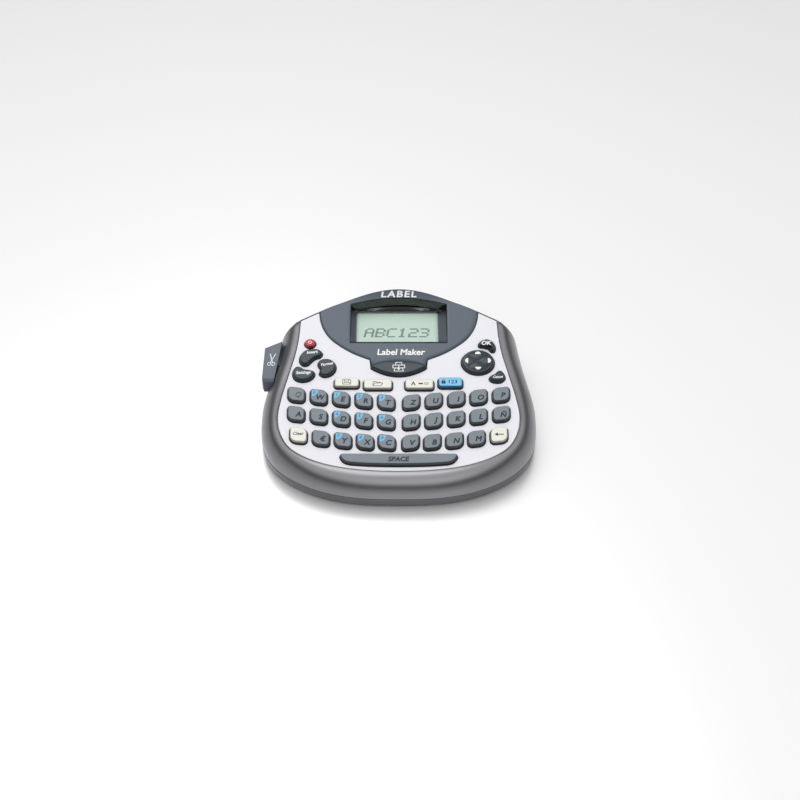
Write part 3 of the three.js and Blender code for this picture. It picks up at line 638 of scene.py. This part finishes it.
# bands: 0 the cap, 1 a near-black band of painted shade at the key's foot, 2 a darker copy of the cap colour
# as painted shade on its sides
KEY_PROFILE = [  # height above the deck, inset, material band that starts here
    (-2.35, 0.0, 1), (0.95, 0.0, 1), (1.2, 0.1, 1), (1.28, 0.34, 2), (2.15, 0.46, 2),
    (2.55, 0.62, 2), (2.82, 0.86, 0), (2.96, 1.18, 0), (3.0, 1.55, 0),
]


def build_key(node, outline, centre, mats, rise=KEY_RISE, dish=0.12, decorate=None, crown=0.0,
              slot="grey_rubber", flat_top=None):
    """Cap with a near-black band of painted shade round its foot; the outline is relative to the centre (x,
    s).
    """
    x0, s0 = centre
    outline = np.asarray(outline, float)
    HOLES.append(grow(outline, HOLE_GAP) + [x0, s0])
    b = Builder(mats)
    reach = float(np.abs(outline).max())
    k = rise / KEY_RISE
    rings, bands = [], []
    for n, inset, band in KEY_PROFILE:
        ring = grow(outline, -inset)
        rings.append([deck_to_body(x0 + u, s0 + v, n * k if n > 0 else n) for u, v in ring])
        bands.append(band)
    last = grow(outline, -KEY_PROFILE[-1][1])

    def top(u, v):
        if flat_top is not None:
            return rise + flat_top
        far = math.hypot(u, v) / reach
        return rise + (crown - dish) * max(0.0, 1 - far * far)

    if flat_top is not None:
        ring = grow(outline, -FLAT_INSET)
        rings.append([deck_to_body(x0 + u, s0 + v, rise + flat_top) for u, v in ring])
        bands.append(0)
    else:
        for scale in (0.9, 0.72, 0.5, 0.25):
            ring = last * scale
            share = min(1.0, (1 - scale) * 3)
            rings.append([deck_to_body(x0 + u, s0 + v, rise * (1 - share) + top(u, v) * share)
                          for u, v in ring])
            bands.append(0)
    b.rings(rings, bands)

    def place(u, v, h):
        return deck_to_body(x0 + u, s0 + v, top(u, v) + h)

    if decorate:
        decorate(b, place)
    b.make(f"{node}_cap", body=node, slot=slot, replaces=[node], sharp=40)


# grey keys: cap, painted shade at the foot, painted shade on the sides, legend, number patch, digit print
GREY = ["key", "skirt", "key_side", "navy", "patch", "blue_side"]
ROWS = [
    # distances from the middle, places up the slope, left keys and right keys, outermost first
    ((65.8, 51.4, 37, 22.5, 8), (-1.4, -3.2, -4.6, -5.9, -7.1), "qwert", "poiuz"),
    ((65.5, 51, 36.6, 22.2, 7.9), (-15.9, -17.8, -19.4, -20.8, -21.8), "asdfg",
     ["n_tilde", "l", "k", "j", "h"]),
    ((63.5, 49.2, 35.2, 21.2, 7.5), (-31.8, -34, -35.5, -36.6, -37), ["clear", "euro", "y", "x", "c"],
     ["backspace", "m", "n", "b", "v"]),
]
DIGITS = dict(zip("wertdfgyxc", "0123456789"))
GLYPHS = {"n_tilde": "Ñ", "euro": "€"}
LEFT = rounded(KEY_W, KEY_L, (4.2, 3.2, 4.0, 2.2))
RIGHT = rounded(KEY_W, KEY_L, (3.2, 4.2, 2.2, 4.0))


def letter_decor(label):
    def decorate(b, place):
        if label == "clear":
            add_text(b, "Clear", 3.1, place, 3, du=0.1, dv=0.6, bold=0.022, shear=0.22)
            return
        if label == "backspace":
            icon_arrow(b, place, 3)
            return
        glyph = GLYPHS.get(label, label.upper())
        add_text(b, glyph, 5.1, place, 3, du=1.35, dv=-1.0, bold=0.046, shear=0.2)
        if label in DIGITS:
            quarter = [(-4.4, 4.3)] + [(-4.4 + 3.9 * math.cos(a), 4.3 + 4.5 * math.sin(a))
                                        for a in np.linspace(-math.pi / 2, 0, 12)]
            add_prism(b, quarter, place, 4)
            add_text(b, DIGITS[label], 2.9, lambda u, v, h: place(u, v, h + 0.05), 5,
                     du=-2.85, dv=2.5, bold=0.03, shear=0.2)
    return decorate


for xs, ys, left, right in ROWS:
    for i, (x, y) in enumerate(zip(xs, ys)):
        for label, sign, square in ((left[i], -1, LEFT), (right[i], 1, RIGHT)):
            shape = np.stack([square[:, 0], square[:, 1] + sign * KEY_SKEW * square[:, 0]], 1)
            pale = label in ("clear", "backspace")
            # pale keys: ivory cap, painted shade at the foot and on the sides, legend, number patch, digit
            # print
            mats = ["ivory", "skirt", "ivory_side", "navy", "patch", "blue_side"] if pale else GREY
            build_key(f"key_{label}", shape, (sign * x, y), mats, decorate=letter_decor(label),
                      slot="ivory_rubber" if pale else "grey_rubber")

SPACE_S = -49.9          # place of the space bar up the slope
space_half = [(35.4, -45.15), (36.6, -45.6), (37, -46.9), (36.7, -48.1), (36, -49.4), (34.9, -50.7),
              (33.4, -51.7), (30.5, -52.5), (20, -53.3), (10, -53.6), (0, -53.7)]
SPACE = np.array([(-x, y) for x, y in space_half[:-1]] + space_half[::-1]) - [0, SPACE_S]
spaced = []
for a_pt, b_pt in zip(SPACE, np.roll(SPACE, -1, 0)):
    steps = max(1, int(np.linalg.norm(b_pt - a_pt) / 2.0))
    spaced += [tuple(a_pt + (b_pt - a_pt) * k / steps) for k in range(steps)]
build_key("key_space", spaced, (0, SPACE_S), GREY,
          decorate=lambda b, place: add_text(b, "SPACE", 4.6, place, 3, bold=0.044, shear=0.2), dish=0.0)

# ivory and blue keys: cap, painted shade at the foot, painted shade on the sides, legend
IVORY = ["ivory", "skirt", "ivory_side", "navy"]
BLUE = ["blue", "skirt", "blue_side", "navy"]


def decor_case(b, place):
    add_text(b, "A", 4.2, place, 3, du=-3.9, bold=0.02)
    add_prism(b, rectangle(0.9, -0.1, 2.9, 1.0), place, 3)
    add_stroke(b, rectangle(4.6, -0.1, 2.2, 1.1), 0.3, place, 3, closed=True)


def decor_lock(b, place):
    icon_lock(b, lambda u, v, h: place(u - 4.5, v, h), 3)
    add_text(b, "123", 3.8, place, 3, du=1.6, bold=0.024, spacing=1.15)


for node, x, y, w, length, mats, decor, slot in (
        ("key_save", -33.6, 7.5, 16.5, 7.6, IVORY, lambda b, p: icon_save(b, p, 3), "ivory_rubber"),
        ("key_open", -13.5, 6.3, 19, 8, IVORY, lambda b, p: icon_open(b, p, 3), "ivory_rubber"),
        ("key_case", 13.3, 6.3, 19, 8, IVORY, decor_case, "ivory_rubber"),
        ("key_numlock", 33.4, 7.7, 16.2, 8, BLUE, decor_lock, "blue_rubber")):
    build_key(node, rounded(w, length, (2.2,) * 4), (x, y), mats, decorate=decor, slot=slot, dish=0.08)

TEAL = ["teal", "skirt", "teal", "ink_white"]
# outline, centre, word, its offset and its turn
SHAPED = {
    "button_insert": (
        [(-62.5, 21.5), (-59.4, 21.7), (-57, 24.2), (-54.6, 26.5), (-51.3, 27.9), (-49.9, 30.4),
         (-51.6, 33), (-56.3, 34), (-61.2, 32.7), (-64.4, 28.8), (-64.6, 24.2)],
        (-58, 28.4), "Insert", (1.5, 2.2), 0.12),
    "button_format": (
        [(-49.3, 12.8), (-45.4, 13.2), (-41.9, 16), (-40.8, 20.2), (-42.3, 23.9), (-45.7, 26),
         (-50, 25.7), (-52.4, 23.9), (-52.6, 21.4), (-51, 18.4), (-51.6, 14.8)],
        (-46.6, 19.8), "Format", (0, 1.5), 0.2),
    "button_settings": (
        [(-67, 10.4), (-62.8, 8.9), (-57.6, 10.1), (-54.9, 13), (-54.8, 16.1), (-57.6, 17.4),
         (-61.2, 18), (-64.1, 19.8), (-66.8, 19.9), (-68.6, 17.5), (-68.8, 13.8)],
        (-62, 14), "Settings", (0.2, 0.4), 0.05),
    "button_ok": (
        [(52.8, 36), (56.2, 35.6), (59, 34.5), (60.5, 32.3), (62.3, 32.1), (63.4, 35.1),
         (62.2, 39.2), (58, 41.5), (53.6, 40), (52.3, 37.8)],
        (58.6, 36.9), "OK", (-1.0, 0.9), 0.0),
    "button_cancel": (
        [(59.4, 9.5), (62.7, 8.3), (66.7, 8.8), (68.9, 11.6), (68.3, 15), (66.3, 16.9),
         (64.4, 16.8), (62.6, 14.7), (60.1, 13.5), (58.6, 11.6)],
        (64.6, 12.1), "Cancel", (-0.3, -0.7), 0.0),
}
WORD_SIZE = {"OK": 4.3, "Insert": 3.0, "Format": 2.7, "Settings": 3.0, "Cancel": 2.3}
for node, (pts, centre, word, (du, dv), turn) in SHAPED.items():
    shape = smooth_loop([np.array(p) - centre for p in pts])

    def decor(b, place, word=word, du=du, dv=dv, turn=turn):
        def turned(u, v, h):
            c, s = math.cos(turn), math.sin(turn)
            return place(du + u * c - v * s, dv + u * s + v * c, h)
        add_text(b, word, WORD_SIZE[word], turned, 3, bold=0.03, shear=0.2)
    build_key(node, shape, centre, TEAL, decorate=decor, slot="teal_rubber", flat_top=0.02)

build_key("button_power", ellipse(3.7, 3.4), (-58.2, 38.7), ["red", "skirt", "red", "ink_white"], rise=2.4,
          dish=0.0, crown=0.45, slot="red_plastic", decorate=lambda b, p: icon_power(b, p, 3))


ARROW_X, ARROW_Y = 7.4, 6.0


def decor_nav(b, place):
    """Four half-moon marks and four sectors with shallow grooves between them."""
    for ang in (0, 90, 180, 270):
        c, s = math.cos(math.radians(ang)), math.sin(math.radians(ang))

        def turned(u, v, h, c=c, s=s):
            return place(ARROW_X * c + u * c - v * s, ARROW_Y * s + u * s + v * c, h)
        half_moon = [(2.0 * math.cos(a) - 1.0, 1.9 * math.sin(a))
                     for a in np.linspace(-math.pi / 2, math.pi / 2, 14)]
        add_prism(b, half_moon, turned, 3, 0.1, 0.34)
    corner = math.atan2(5.9, 7.2)
    for start, stop in ((-corner, corner), (corner, math.pi - corner), (math.pi - corner, math.pi + corner),
                        (math.pi + corner, 2 * math.pi - corner)):
        sector = np.array([(0.0, 0.0)] + [(8.7 * math.cos(a), 7.5 * math.sin(a))
                                          for a in np.linspace(start, stop, 22)])
        outer, inner = grow(sector, -0.26), grow(sector, -0.42)
        b.rings([[place(u, v, -0.3) for u, v in outer], [place(u, v, 0.16) for u, v in outer],
                 [place(u, v, 0.26) for u, v in inner]], 0)


def decor_print(b, place):
    icon_print(b, lambda u, v, h: place(u * 1.05, v * 1.05 - 1.2, h), 3)


build_key("nav_pad", ellipse(10.8, 9.4), (51.6, 23.8), TEAL, rise=2.8, dish=0.0,
          crown=0.35, slot="teal_rubber", decorate=decor_nav)
build_key("button_print", lens_outline(18, 0.0, 4.5, -7.0), (0, 20.2), TEAL, dish=0.0, crown=0.2,
          slot="teal_rubber", decorate=decor_print)
PRINT_HOLE = HOLES.pop()


# -------- keypad plate
def half_bezel(per=7):
    """Outline of the display bezel, right half, from behind the print button to the ridge's middle."""
    front = catmull([(0, 25.2), (6, 24.75), (11, 23.7), (15, 22.5), (17.4, 21.6)], 5)
    oval = catmull([(18.8, 26.5), (22.4, 28), (30, 31.6), (38.8, 37.5), (45.2, 43.4), (49.8, 51.1),
                    (52.1, 59), (52.6, 64.2)], per)
    low = np.vstack([front, oval]) * [1, COS]
    low = low[low[:, 1] < arc_y(BEZEL_HALF) - 0.3]
    rear = [(BEZEL_HALF * t, arc_y(BEZEL_HALF * t)) for t in np.linspace(1, 0, 27)]
    return np.vstack([low, rear])


BEZEL = mirrored(half_bezel())


def build_plate():
    """Glossy white sheet with chamfered edges and one opening per key."""
    notch = grow(BEZEL, 0.3)
    keep = [p for p in notch if p[0] > 17 and p[1] / COS > 25 and p[1] < arc_y(p[0]) - 0.9]
    keep.sort(key=lambda p: -p[1])
    notch_right = [(x, y / COS) for x, y in keep]
    rear = [(x, y / COS) for x, y in plate_rear if x > 53.6]
    right = [(x, y / COS) for x, y in plate_side] + rear + [(53.1, arc_y(53.1) / COS)] + notch_right
    print_front = [tuple(p) for p in PRINT_HOLE[:40][::-1]]
    right.append((18.45, 21.5))
    left = [(-x, s) for x, s in right[:0:-1]]
    outer = np.array(right + print_front + left)
    chamfer, depth = 0.2, 0.22

    def inset_ring(ring, by, n):
        return [deck_to_body(x, s, n) for x, s in (grow(ring, by) if by else ring)]

    b = Builder(["white", "gap"])
    b.rings([inset_ring(outer, 0, -PLATE_T), inset_ring(outer, 0, -1.1), inset_ring(outer, 0, -depth),
             inset_ring(outer, -chamfer, 0)], [1, 0, 0], cap_start=False, cap_end=False)
    for hole in HOLES:
        b.rings([inset_ring(hole, chamfer, 0), inset_ring(hole, 0, -depth), inset_ring(hole, 0, -1.1),
                 inset_ring(hole, 0, -PLATE_T)], [0, 1, 1], cap_start=False, cap_end=False)
    for n, inward in ((0.0, chamfer), (-PLATE_T, 0.0)):
        loops = [outer if not inward else grow(outer, -inward)]
        loops += [hole if not inward else grow(hole, inward) for hole in HOLES]
        loops = [[Vector((x, s, 0)) for x, s in ring] for ring in loops]
        flat = [point for ring in loops for point in ring]
        tris = mathutils.geometry.tessellate_polygon(loops)
        up = n == 0.0
        faces = []
        for i, j, k in tris:
            turn = (flat[j] - flat[i]).cross(flat[k] - flat[i]).z
            if abs(turn) < 1e-9:
                continue
            faces.append((i, j, k) if (turn > 0) == up else (i, k, j))
        b.add([deck_to_body(p.x, p.y, n) for p in flat], faces, 0)
    b.make("plate_white", body="housing", slot="white_plastic", replaces=["keypad_plate"], sharp=25)


build_plate()



# -------- display bezel, hood and recess
def bezel_top(x, y):
    """Height of the bezel's face, which swells towards the ridge."""
    back = max((y - 66) / (arc_y(0) - 66), 0)
    return deck_z(y) + 1.3 + RIDGE_BULGE * min(back * back, 1) * (1 - (x / 60) ** 2)


CENTRE = np.array([0.0, 54.0])


def rectangle_ring(hx, front, rear):
    """A rectangle sampled along the rays of the bezel outline, its corners on exact samples."""
    ring = []
    for x, y in BEZEL:
        dx, dy = x - CENTRE[0], y - CENTRE[1]
        hy = rear - CENTRE[1] if dy > 0 else CENTRE[1] - front
        k = min(hx / max(abs(dx), 1e-6), hy / max(abs(dy), 1e-6))
        ring.append([CENTRE[0] + dx * k, CENTRE[1] + dy * k])
    ring = np.array(ring)
    for corner in ((-hx, front), (hx, front), (hx, rear), (-hx, rear)):
        near = np.argmin(np.hypot(*(ring - corner).T))
        ring[near] = corner
    return ring


def build_bezel():
    """Dark panel with a stepped recess, a black hood and the words on it."""
    recess = rectangle_ring(32, 38.1, 68.5)

    def arched(inset):
        """The recess, its rear edge bowed to the rear, its front edge and sides straight."""
        out = []
        for (x, y) in recess:
            share = max((y - 60) / 8.5, 0)
            out.append((x, y + 4 * (1 - min(abs(x) / 32, 1) ** 2) * share))
        ring = np.array(out)
        return CENTRE + (ring - CENTRE) * (1 - inset)

    mouth = arched(0)
    wide = CENTRE + (mouth - CENTRE) * 1.018
    pane_hole = rectangle_ring(27, 38.8, 69) + [-1, 0]
    top_ring = grow(BEZEL, -1.0)
    rings, mats = [], []

    def put(ring, mat):
        rings.append(ring)
        mats.append(mat)

    put(on_normal(BEZEL, -PLATE_T), 0)
    skirt = np.array([(x, y) for x, y, _ in on_normal(BEZEL, 0.5)])
    put([(x, y, bezel_top(bx, by) - 1.0) for (x, y), (bx, by) in zip(skirt, BEZEL)], 0)
    for t in (30, 60):
        a = math.radians(t)
        ring = skirt + (top_ring - skirt) * (1 - math.cos(a))
        put([(x, y, bezel_top(bx, by) - 1.0 + math.sin(a)) for (x, y), (bx, by) in zip(ring, BEZEL)], 0)
    for t in (0.0, 0.14, 0.3, 0.46, 0.62, 0.78, 0.92):
        ring = top_ring + (wide - top_ring) * t
        put(at_height(ring, bezel_top), 0)
    put(at_height(wide, bezel_top), 0)
    # soft lip, then the walls of the recess, painted in a darker copy of the panel colour as shade
    half_lip = CENTRE + (mouth - CENTRE) * 1.005
    put([(x, y, bezel_top(x, y) - 0.18) for x, y in half_lip], 0)
    put([(x, y, bezel_top(x, y) - 0.6) for x, y in mouth], 2)
    wall_foot = arched(0.014)
    step = arched(0.05)
    put([(x, y, LCD_Z + 0.9) for x, y in wall_foot], 2)
    put([(x, y, LCD_Z + 0.75) for x, y in step], 2)
    put(at_height(CENTRE + (pane_hole - CENTRE) * 1.02, LCD_Z), 0)
    put(at_height(pane_hole, LCD_Z), 2)
    put(at_height(pane_hole, LCD_Z - 0.9), 0)
    put(at_height(CENTRE + (mouth - CENTRE) * 1.03, LCD_Z - 0.9), 0)
    put(on_normal(grow(BEZEL, -2.4), -PLATE_T), 0)
    b = Builder(["panel", "hood", "panel_dark", "ink_white"])
    start = len(b.index)
    b.rings(rings, mats, loop=True)
    n = len(BEZEL)
    for band in range(11, 17):  # the hood's bands, from the lip to the wall's foot
        for i in range(n):
            if min(mouth[i][1], mouth[(i + 1) % n][1]) > 68.2:
                b.index[start + band * n + i] = 1

    def place(u, v, h):
        return (u, v, bezel_top(u, v) + h)
    add_text(b, "LABEL", 6.5, lambda u, v, h: place(u, v + 74.75, h), 3, bold=0.03, shear=0.12, spacing=1.2,
             slices=6, stretch=(1.18, 0.74))
    add_text(b, "Label Maker", 6.3, lambda u, v, h: place(u + 1.6, v + 30.9, h), 3, bold=0.026, shear=0.12,
             slices=3)
    b.make("bezel_panel", body="housing", slot="panel_plastic", replaces=["display_bezel"], sharp=30)


build_bezel()

# -------- display
DOTS = {
    "A": ("01110", "10001", "10001", "11111", "10001", "10001", "10001"),
    "B": ("11110", "10001", "10001", "11110", "10001", "10001", "11110"),
    "C": ("01111", "10000", "10000", "10000", "10000", "10000", "01111"),
    "1": ("00100", "01100", "00100", "00100", "00100", "00100", "01110"),
    "2": ("11110", "00001", "00001", "01110", "10000", "10000", "11111"),
    "3": ("11110", "00001", "00001", "01110", "00001", "00001", "11110"),
}


def build_lcd():
    """Display cell with a pale face and dot-matrix characters."""
    face_z = 39.3
    b = Builder(["lcd", "lcd_ink", "gap"])
    x0, x1, y0, y1 = -29.9, 27.9, 38.3, 69.2
    for inset, z0, z1, mat in ((0, 36.4, 38.0, 2), (0.3, 38.0, face_z, 0)):
        v, f = box_mesh(x0 + inset, x1 - inset, y0 + inset, y1 - inset, z0, z1)
        b.add(v, f, mat)
    pitch = 1.22
    word = "ABC123"
    left = -1.2 - (len(word) * 6 - 1) * pitch / 2

    def flat(u, v, h):
        return (u, v, face_z + h)

    for k, letter in enumerate(word):
        for r, row in enumerate(DOTS[letter]):
            for c, on in enumerate(row):
                if on == "1":
                    u = left + (k * 6 + c + 0.5) * pitch + (3 - r) * 0.22
                    v = 50.4 + (3 - r) * pitch
                    dot = rectangle(u, v, pitch * 1.22, pitch * 0.96)
                    add_prism(b, dot, flat, 1, -0.02, 0.03 + 0.004 * (c % 2))
    b.make("lcd_panel", body="housing", slot="lcd", replaces=["lcd_module"])


build_lcd()

window = Builder(["pane"])
pane_edge = grow(rectangle_ring(27, 38.8, 69) + [-1, 0], -0.3)
window.rings([at_height(pane_edge, LCD_Z - 1.5), at_height(pane_edge, LCD_Z - 0.45),
              at_height(grow(pane_edge, -0.15), LCD_Z - 0.3)])
window.make("pane_clear", body="housing", slot="clear_window", replaces=["display_window"])


# -------- cutter lever
def bevel_edges(obj, width, segments, angle=30):
    mod = obj.modifiers.new("edge", "BEVEL")
    mod.width = width * MM
    mod.segments = segments
    mod.limit_method = "ANGLE"
    mod.angle_limit = math.radians(angle)
    mod.use_clamp_overlap = True
    apply_modifiers(obj)


def build_lever():
    """Wedge-shaped lever with an arm through the wall and a scissors mark."""
    plan = [(-81.8, 12.6), (-77.2, 44.6), (-88.4, 39.3), (-89.4, 16.4), (-88, 12.6)]
    profile = [(13.4, 21.5), (46, 21.5), (46, 37.5), (16.2, 31.2), (14.6, 29.6)]
    b = Builder(["lever"])
    b.rings([at_height(plan, 20), at_height(plan, 40)])
    obj = b.make("lever_cutter", body="cutter", slot="lever_plastic", replaces=["cutter_lever"])
    side = Builder([])
    side.rings([[(x, y, z) for y, z in profile] for x in (-92, -74)])
    boolean(obj, plain_object("side", side.verts, side.faces), "INTERSECT")
    bevel_edges(obj, 0.7, 3)
    arm = Builder([])
    arm.add(*box_mesh(-82, -69.3, 28.5, 41.5, 25.5, 31.4))
    boolean(obj, plain_object("arm", arm.verts, arm.faces), "UNION")
    finish_mesh(obj, 35)
    mark_z, slope = 31.22, 0.21
    icon = Builder(["ink_white"])

    def on_top(u, v, h):
        x, y = -83.4 + u * 0.78 + 0.1 * v, 30.5 + v * 0.86
        return (x, y, mark_z + slope * (y - 16) + h)
    icon_scissors(icon, on_top, 0)
    icon.make("lever_icon", body="cutter", slot="lever_plastic")


build_lever()


# -------- base shell and battery door
def build_base():
    """Base shell, then its ribs, feet and screws as a second piece."""
    top = PART_Z - 0.4
    b = Builder(["base", "gap"])
    profile = ((-7.5, 2.0), (-6.2, 0.95), (-5.8, 0.8), (-2.4, 0.8), (-1.6, 0.86), (-1.1, 1.05), (-0.7, 1.5),
               (-0.35, 2.4), (-0.1, 4.4), (0, 7.25), (-0.5, top), (-WALL, top), (-6, 4.0))
    rings = [at_height(grow(GIRTH, out), z) for out, z in profile]
    b.rings(rings, [0] * 10 + [1, 0])
    obj = b.make("base_lower", body="housing", slot="base_plastic", replaces=["base_shell"])
    boolean(obj, plain_object("hatch", *box_mesh(*HATCH_OPENING)))
    # row of vents
    for k in range(7):
        x = -27 + 9 * k
        boolean(obj, plain_object("vent", *box_mesh(x - 0.7, x + 0.7, 36, 50, 1.0, 2.9)))
    finish_mesh(obj)
    fit = Builder(["base", "rubber", "steel", "gap"])
    for x0, x1, y0, y1, z0, z1 in (
            (-33.6, -32, -35, 17, 3.6, 14), (32, 33.6, -35, 17, 3.6, 14), (-33.6, 33.6, 17.6, 19.2, 3.6, 14),
            (-20, -18, 44, 63, 3.6, 7.4), (28, 30, 44, 63, 3.6, 7.4), (-62, -44, 24, 38, 3.6, 9.8),
            (-30.5, -29, 42.5, 44.2, 3.6, 30), (37, 38.5, 42.5, 44.2, 3.6, 30),
            (-46, -34, 45.6, 61.4, 3.6, 10.4)):
        fit.add(*box_mesh(x0, x1, y0, y1, z0, z1), 0)
    for x, y in ((-58, -34), (58, -34), (-54, 60), (54, 60)):
        seat = [circle(x, y, r, 40) for r in (5.4, 5.9, 5.9)]
        fit.rings([at_height(seat[0], 0.9), at_height(seat[1], 1.1), at_height(seat[2], 2.9)], 0)
        pad = [circle(x, y, r, 40) for r in (3.2, 4.7, 5.1, 5.1)]
        fit.rings([at_height(pad[0], 0.0), at_height(pad[1], 0.05), at_height(pad[2], 0.35),
                   at_height(pad[3], 1.0)], 1)
    for x, y in ((-66, 6), (66, 6), (-40, -52), (40, -52), (0, 66)):
        well = [circle(x, y, r, 28) for r in (2.9, 2.9, 2.3)]
        fit.rings([at_height(well[0], 2.15), at_height(well[1], 1.7), at_height(well[2], 1.55)], 0)
        fit.rings([at_height(circle(x, y, 1.7, 24), 1.6), at_height(circle(x, y, 1.7, 24), 1.4),
                   at_height(circle(x, y, 1.3, 24), 1.3)][::-1], 2)
        for turn in (0, math.pi / 2):
            c, s = math.cos(turn), math.sin(turn)
            cross = [(x + u * c - v * s, y + u * s + v * c) for u, v in rectangle(0, 0, 2.0, 0.4)]
            fit.rings([at_height(cross, 1.27), at_height(cross, 1.36)], 3)
    fit.make("base_fittings", body="housing", slot="base_plastic", replaces=["base_shell"])


build_base()


def build_hatch():
    """Sliding battery door with grip ribs, an arrow and two hooked rails."""
    b = Builder(["base_dark", "ink_white"])
    skin = rounded(66, 62, (3,) * 4) + [0, -15]
    b.rings([at_height(grow(skin, -0.5), 0.6), at_height(grow(skin, -0.15), 0.7), at_height(skin, 1.0),
             at_height(skin, 1.7)])
    for side in (-1, 1):
        web = sorted((side * 28.4, side * 29.7))
        hook = sorted((side * 28.4, side * 31.6))
        b.add(*box_mesh(*web, -30, 12, 1.2, 5.2), 0)
        b.add(*box_mesh(*hook, -30, 12, 4.3, 5.19), 0)
    b.add(*box_mesh(-28, 28, -30, 12, 1.5, 3.6), 0)
    for k in range(9):
        y = 6.5 - 1.7 * k
        rib = rounded(30, 0.8, (0.39,) * 4, per=4) + [0, y]
        b.rings([at_height(grow(rib, -0.2), 0.36), at_height(rib, 0.5), at_height(rib, 0.8)], 0)

    def below(u, v, h):
        return (-u, v, 0.6 - h)

    add_prism(b, [(-4, -16), (0, -22), (4, -16)], below, 1, -0.05, 0.08)
    b.make("hatch_battery", body="battery_door", slot="base_plastic", replaces=["battery_door"])


build_hatch()

# -------- materials of the pieces kept from the frame
INSIDE = {
    "circuit_board": "board", "cutter_blade": "steel", "print_head": "alu", "platen_roller": "roller",
    "feed_motor": "alu", "motor_pinion": "gear", "tape_cassette": "cassette", "battery_pack": "cell",
}
for node, key in INSIDE.items():
    mesh = NODES[node].data
    mesh.materials.clear()
    mesh.materials.append(M[key])

# -------- floor, light, camera
def add_area(name, loc, target, size, power):
    data = bpy.data.lights.new(name, "AREA")
    data.size = size
    data.energy = power
    obj = bpy.data.objects.new(name, data)
    obj.location = loc
    obj.rotation_euler = (Vector(target) - Vector(loc)).to_track_quat("-Z", "Y").to_euler()
    bpy.context.scene.collection.objects.link(obj)


floor_mesh = bpy.data.meshes.new("floor")
floor_mesh.from_pydata([(-4, -4, 0), (4, -4, 0), (4, 6, 0), (-4, 6, 0)], [], [(0, 1, 2, 3)])
floor_obj = bpy.data.objects.new("floor", floor_mesh)
FLOOR_WHITE = (0.95, 0.95, 0.955, 1)
floor_mesh.materials.append(new_material("floor_white", FLOOR_WHITE, 0.3, 0.45, 0.02, 40, 0.004, 0.01))
bpy.context.scene.collection.objects.link(floor_obj)

world = bpy.data.worlds.new("studio")
bpy.context.scene.world = world
world.use_nodes = True
tree = world.node_tree
background = tree.nodes["Background"]
direction = tree.nodes.new("ShaderNodeTexCoord")
axes = tree.nodes.new("ShaderNodeSeparateXYZ")
fade = tree.nodes.new("ShaderNodeValToRGB")
STUDIO = ((0.3, (0.07, 0.07, 0.075, 1)), (0.62, (1, 1, 1, 1)))  # place up the sky and colour there
for element, (position, color) in zip(fade.color_ramp.elements, STUDIO):
    element.position = position
    element.color = color
tree.links.new(direction.outputs["Generated"], axes.inputs[0])
tree.links.new(axes.outputs["Z"], fade.inputs[0])
tree.links.new(fade.outputs[0], background.inputs["Color"])
background.inputs["Strength"].default_value = 0.95

add_area("key_light", (-0.25, 0.35, 1.1), (0, 0, 0.02), 0.9, 4.2)
add_area("front_fill", (0.15, -0.9, 0.75), (0, 0, 0.03), 0.7, 0.5)

ELEVATION = math.radians(47)
AIM_Z = 0.028
cam_data = bpy.data.cameras.new("camera")
cam_data.sensor_width = 36
cam_data.lens = 69.525
cam_data.shift_x = 0.00155
cam_data.clip_end = 20
cam = bpy.data.objects.new("camera", cam_data)
aim = Vector((0, SHIFT_Y * MM, AIM_Z))
cam.location = aim - Vector((0, math.cos(ELEVATION), -math.sin(ELEVATION)))
cam.rotation_euler = (aim - cam.location).to_track_quat("-Z", "Y").to_euler()
bpy.context.scene.collection.objects.link(cam)
bpy.context.scene.camera = cam
bpy.context.scene.view_settings.view_transform = "Standard"
